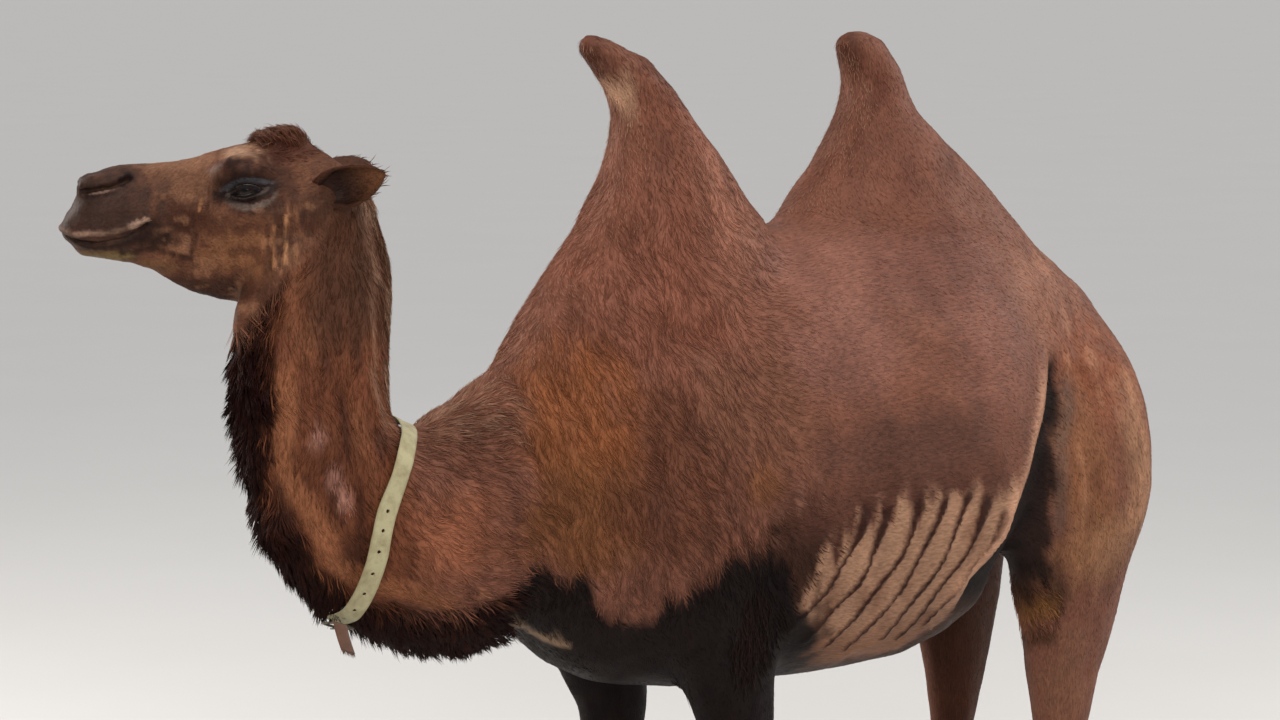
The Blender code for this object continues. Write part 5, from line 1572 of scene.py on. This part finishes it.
def build_lashes(hide, material):
    """Long lashes of the upper lids and short ones of the lower."""
    place, way, length, normal = [], [], [], []
    for side in (1, -1):
        for low, high, number, reach, lean in ((8, 172, 230, 0.0175, -0.50), (200, 340, 80, 0.0065, -0.35)):
            for angle in np.radians(np.linspace(low, high, number)):
                root, _, (forward, up, out) = rim_point(side, angle, 1.06, EYE_RADIUS + 0.0024)
                spread = forward * math.cos(angle) * 0.45
                aim = out * 0.9 + up * lean + spread + RNG.normal(0, 0.10, 3)
                place.append(root)
                way.append(aim @ HEAD_AXES.T)
                normal.append(up @ HEAD_AXES.T)
                length.append(reach * (0.7 + 0.5 * RNG.random()))
    place, way, normal = np.array(place), unit(np.array(way)), np.array(normal)
    normal = flat(normal, way)
    length = np.array(length)
    number = len(place)
    dark = np.tile(tone(30, 24, 24), (number, 1))
    lashes = tufts("coat_lashes", hide, place, normal, way, length, np.full(number, 0.00075),
                   0.0018 * RNG.random(number) - 0.0030, np.full(number, 0.0004), dark, dark * 1.6, rings=3,
                   sink=0.0, follow=False)
    lashes.data.materials.append(material)
    return lashes


def rounded(node, name, material):
    """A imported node, subdivided to a smooth one, in a better material."""
    obj = scene_object(name, merged(frame["nodes"][node].data.copy()))
    obj.data.materials.clear()
    subdivide = obj.modifiers.new("round", "SUBSURF")
    subdivide.levels = subdivide.render_levels = 2
    obj.data = evaluated(obj)
    obj.modifiers.clear()
    obj.data.shade_smooth()
    obj.data.materials.append(material)
    return obj


def build_nail(name, material):
    """A packed nail, rounded off and grown back to its size."""
    obj = rounded(name, name + "_horn", material)
    co = coordinates(obj.data)
    middle = (co.min(axis=0) + co.max(axis=0)) / 2
    co = middle + (co - middle) * 1.06
    co[:, 2] = np.maximum(co[:, 2], 0.002)
    obj.data.vertices.foreach_set("co", co.ravel().astype(np.float32))
    obj.data.update()
    return obj


# ---------------------------------------------------------------------------
# Collar
# ---------------------------------------------------------------------------
def collar_axes():
    """Columns: along the neck to the rear, sideways, and up in the collar's plane."""
    c, s = math.cos(COLLAR_TILT), math.sin(COLLAR_TILT)
    return np.array([(c, 0, s), (0, 1, 0), (-s, 0, c)])


def strap_sway(angle):
    """How far to the rear of the collar's plane the strap runs at an angle round it."""
    return STRAP_LEAN * np.maximum(0, np.sin(angle)) ** 8 - STRAP_BOW * np.cos(angle) ** 2


def collar_matrix():
    return Matrix.Translation(Vector(COLLAR_CENTRE + BODY)) @ Matrix.Rotation(COLLAR_TILT, 4, "Y")


def strap_radii(segments):
    """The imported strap's outer radius at the front and rear edge, for each angle round the neck."""
    node = frame["nodes"]["collar_strap"]
    tree = BVHTree.FromObject(node, bpy.context.evaluated_depsgraph_get())
    place = collar_matrix()
    turn = place.to_3x3()
    angles = np.linspace(0, 2 * math.pi, segments, endpoint=False)
    radii = []
    for angle in angles:
        outward = turn @ Vector((0, math.cos(angle), math.sin(angle)))
        row = []
        for along in (-0.016, 0.016):
            centre = place @ Vector((along + strap_sway(angle), 0, 0))
            hit = tree.ray_cast(centre + outward * 0.6, -outward)[0]
            row.append((hit - centre).length)
        radii.append(row)
    radii = np.array(radii)
    for _ in range(4):
        radii = (np.roll(radii, 1, 0) + 2 * radii + np.roll(radii, -1, 0)) / 4
    return angles, radii


def build_strap(material):
    """The webbing round the neck, with punched holes on its left side below the middle."""
    segments, across, thick, hole = 280, 9, 0.0034, 0.0038
    angles, radii = strap_radii(segments)
    place = collar_matrix()
    bm = bmesh.new()
    weave = bm.verts.layers.float_vector.new("weave")
    run = 0.0
    rings = []
    for k, angle in enumerate(angles):
        front, rear = radii[k]
        ring = []
        steps = np.linspace(-1, 1, across)
        for layer, order in ((0.0, steps), (-thick, steps[::-1])):
            for step in order:
                radius = front + (rear - front) * (step + 1) / 2 + layer
                radius -= 0.0009 * abs(step) ** 6 * (1 if layer == 0 else -1)
                radius += 0.0004 * math.sin(k * 0.23 + step)
                vertex = bm.verts.new(place @ Vector((STRAP_HALF * step + strap_sway(angle),
                                                      radius * math.cos(angle), radius * math.sin(angle))))
                vertex[weave] = (run, STRAP_HALF * step, 0)
                ring.append(vertex)
        rings.append(ring)
        run += 2 * math.pi / segments * radii[k].mean()
    bridge(bm, rings, closed=True)
    bmesh.ops.recalc_face_normals(bm, faces=bm.faces)
    strap = mesh_object("collar_webbing", bm)
    punch = bmesh.new()
    for angle in np.radians((-180, -164, -149, -135, -123, -113, -104)):
        radius = np.interp(angle % (2 * math.pi), angles, radii.mean(axis=1))
        turn = Matrix.Translation((strap_sway(angle), 0, 0)) @ Matrix.Rotation(angle - math.pi / 2, 4, "X")
        bmesh.ops.create_cone(punch, cap_ends=True, segments=14, radius1=hole, radius2=hole, depth=0.03,
                              matrix=place @ turn @ Matrix.Translation((0, 0, radius)))
    cutter = mesh_object("punch", punch)
    boolean = strap.modifiers.new("holes", "BOOLEAN")
    boolean.operation = "DIFFERENCE"
    boolean.solver = "EXACT"
    boolean.object = cutter
    strap.data = evaluated(strap)
    strap.modifiers.clear()
    bpy.data.objects.remove(cutter)
    strap.data.shade_smooth()
    strap.data.set_sharp_from_angle(angle=math.radians(40))
    strap.data.materials.clear()
    strap.data.materials.append(material)
    return strap


def build_strap_end(material):
    """The loose end of the strap, frayed at its tip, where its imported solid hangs."""
    half, thick, frays = 0.0165, 0.0014, 60
    node = coordinates(frame["nodes"]["collar_strap_end"].data)
    order = np.argsort(node[:, 2])
    top, tip = node[order[-8:]].mean(axis=0), node[order[:8]].mean(axis=0)
    across = np.array((math.cos(COLLAR_TILT), 0, -math.sin(COLLAR_TILT)))
    down = unit(tip - top)
    out = np.cross(across, down)
    bm = bmesh.new()
    weave = bm.verts.layers.float_vector.new("weave")
    rings = []
    length = np.linalg.norm(tip - top)
    steps = np.linspace(-1, 1, 7)
    outline = [(step, thick) for step in steps] + [(-step, -thick) for step in steps]
    for share in np.linspace(0, 0.86, 14):
        centre = top + down * (length * share) + out * (0.002 * math.sin(share * 4))
        ring = []
        for step, layer in outline:
            layer *= 1 - 0.4 * abs(step) ** 4
            vertex = bm.verts.new(centre + across * (half * step) + out * layer)
            vertex[weave] = (length * share, half * step, 0)
            ring.append(vertex)
        rings.append(ring)
    bridge(bm, rings, closed=False)
    bm.faces.new(rings[0][::-1])
    bm.faces.new(rings[-1])
    start = top + down * (length * 0.84)
    for _ in range(frays):
        offset = RNG.uniform(-0.0155, 0.0155)
        root = start + across * offset + out * RNG.uniform(-0.0008, 0.0008)
        aim = unit(down + across * RNG.normal(0, 0.22) + out * RNG.normal(0, 0.16))
        end = root + aim * length * RNG.uniform(0.10, 0.20)
        side = unit(np.cross(aim, out))
        rise = unit(np.cross(side, aim)) * 0.0005
        base = [root + side * 0.0006, root - side * 0.0003 + rise, root - side * 0.0003 - rise]
        made = [bm.verts.new(v) for v in base]
        point = bm.verts.new(end)
        for vertex in made + [point]:
            vertex[weave] = (length * 0.9, offset, 0)
        bm.faces.new(made[::-1])
        for i in range(3):
            bm.faces.new((made[i], made[(i + 1) % 3], point))
    bmesh.ops.recalc_face_normals(bm, faces=bm.faces)
    return mesh_object("collar_loose_end", bm, material)


# ---------------------------------------------------------------------------
# Studio
# ---------------------------------------------------------------------------
def add_light(name, place, target, size, power, colour):
    light = bpy.data.lights.new(name, "AREA")
    light.shape = "DISK"
    light.size = size
    light.energy = power
    light.color = colour
    obj = scene_object(name, light)
    obj.location = place
    obj.rotation_euler = (Vector(target) - Vector(place)).to_track_quat("-Z", "Y").to_euler()


def build_studio():
    far = 600
    mesh = bpy.data.meshes.new("studio_floor")
    mesh.from_pydata([(-far, -far, 0), (far, -far, 0), (far, far, 0), (-far, far, 0)], [], [(0, 1, 2, 3)])
    mesh.materials.append(floor_material())
    scene_object("studio_floor", mesh)
    world = bpy.data.worlds.new("studio_world")
    world.use_nodes = True
    background = world.node_tree.nodes["Background"]
    background.inputs["Color"].default_value = (0.93, 0.96, 1.0, 1.0)
    background.inputs["Strength"].default_value = 0.40
    bpy.context.scene.world = world
    bpy.context.scene.view_settings.view_transform = "Standard"
    target = (0.1, 0.0, 1.2)
    sky = bpy.data.lights.new("overhead", "SUN")
    sky.energy, sky.angle, sky.color = 2.0, math.radians(60), (1.0, 0.98, 0.95)
    overhead = scene_object("overhead", sky)
    overhead.rotation_euler = Vector((-0.25, 0.42, -1.0)).to_track_quat("-Z", "Y").to_euler()
    add_light("key", (-3.4, -4.4, 4.4), target, 3.6, 210, (1.0, 0.97, 0.93))
    add_light("rim", (-3.4, 4.6, 3.6), target, 3.0, 330, (1.0, 0.95, 0.90))
    add_light("tail_side", (5.0, -1.2, 3.4), target, 3.0, 110, (1.0, 0.95, 0.88))


def build_camera():
    """The photo's view: about seven metres away, a little above the back, with a long lens."""
    azimuth, elevation, distance = math.radians(-40), math.radians(7), 7.0
    target = Vector((0, 0, 1.45)) + Vector(BODY)
    back = Vector((math.sin(azimuth) * math.cos(elevation), -math.cos(azimuth) * math.cos(elevation),
                   math.sin(elevation)))
    camera = bpy.data.cameras.new("camera")
    camera.sensor_width, camera.lens = 36.0, 98.4375
    obj = scene_object("camera", camera)
    obj.location = target + back * distance
    obj.rotation_euler = (-back).to_track_quat("-Z", "Y").to_euler()
    bpy.context.scene.camera = obj


# ---------------------------------------------------------------------------
# The whole
# ---------------------------------------------------------------------------
def main():
    build_studio()
    build_camera()
    skin = build_skin()
    add_ears(skin)
    hide = Hide(skin)
    set_colours(skin.data, marked(hide.co, hide.ear, hide.ear_inside) * 0.90)
    hanging = skin.data.attributes.new("hanging", "FLOAT", "POINT")
    upright = np.abs(lie(hide.co, hide.normal, hide.ear)[:, 2])
    hanging.data.foreach_set("value", ramp(upright, 0.45, 0.80).astype(np.float32))
    skin.data.materials.clear()
    skin.data.materials.append(skin_material())
    skin.data.shade_smooth()
    flesh = [name for name in frame["nodes"] if not name.startswith(("eye", "toenail", "collar"))]
    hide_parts(*flesh)
    hair = coat_material()
    coats = grow_coat(hide, hair) + grow_long(hide, hair)
    coats.append(build_lashes(hide, hair))
    pieces = [skin] + coats
    gloss = eye_material()
    for side, hand in ((1, "left"), (-1, "right")):
        eye = build_eye(side, "eyeball_" + hand, gloss)
        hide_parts("eye_" + hand)
        pieces.append(eye)
    rims = build_rims(wet_rim_material())
    pieces.append(rims)
    horn = horn_material()
    for name in sorted(name for name in frame["nodes"] if name.startswith("toenail")):
        nail = build_nail(name, horn)
        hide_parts(name)
        pieces.append(nail)
    strap = build_strap(webbing_material("strap_webbing", (0.43, 0.39, 0.23, 1), (0.19, 0.145, 0.065, 1)))
    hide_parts("collar_strap")
    end = build_strap_end(webbing_material("end_webbing", (0.150, 0.066, 0.040, 1), (0.070, 0.034, 0.020, 1)))
    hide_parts("collar_strap_end")
    steel = steel_material()
    buckle = rounded("collar_buckle", "buckle_frame", steel)
    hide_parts("collar_buckle")
    tongue = rounded("collar_buckle_tongue", "buckle_tongue", steel)
    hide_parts("collar_buckle_tongue")
    for piece in pieces + [strap, end, buckle, tongue]:
        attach(piece, "root")
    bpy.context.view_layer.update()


main()
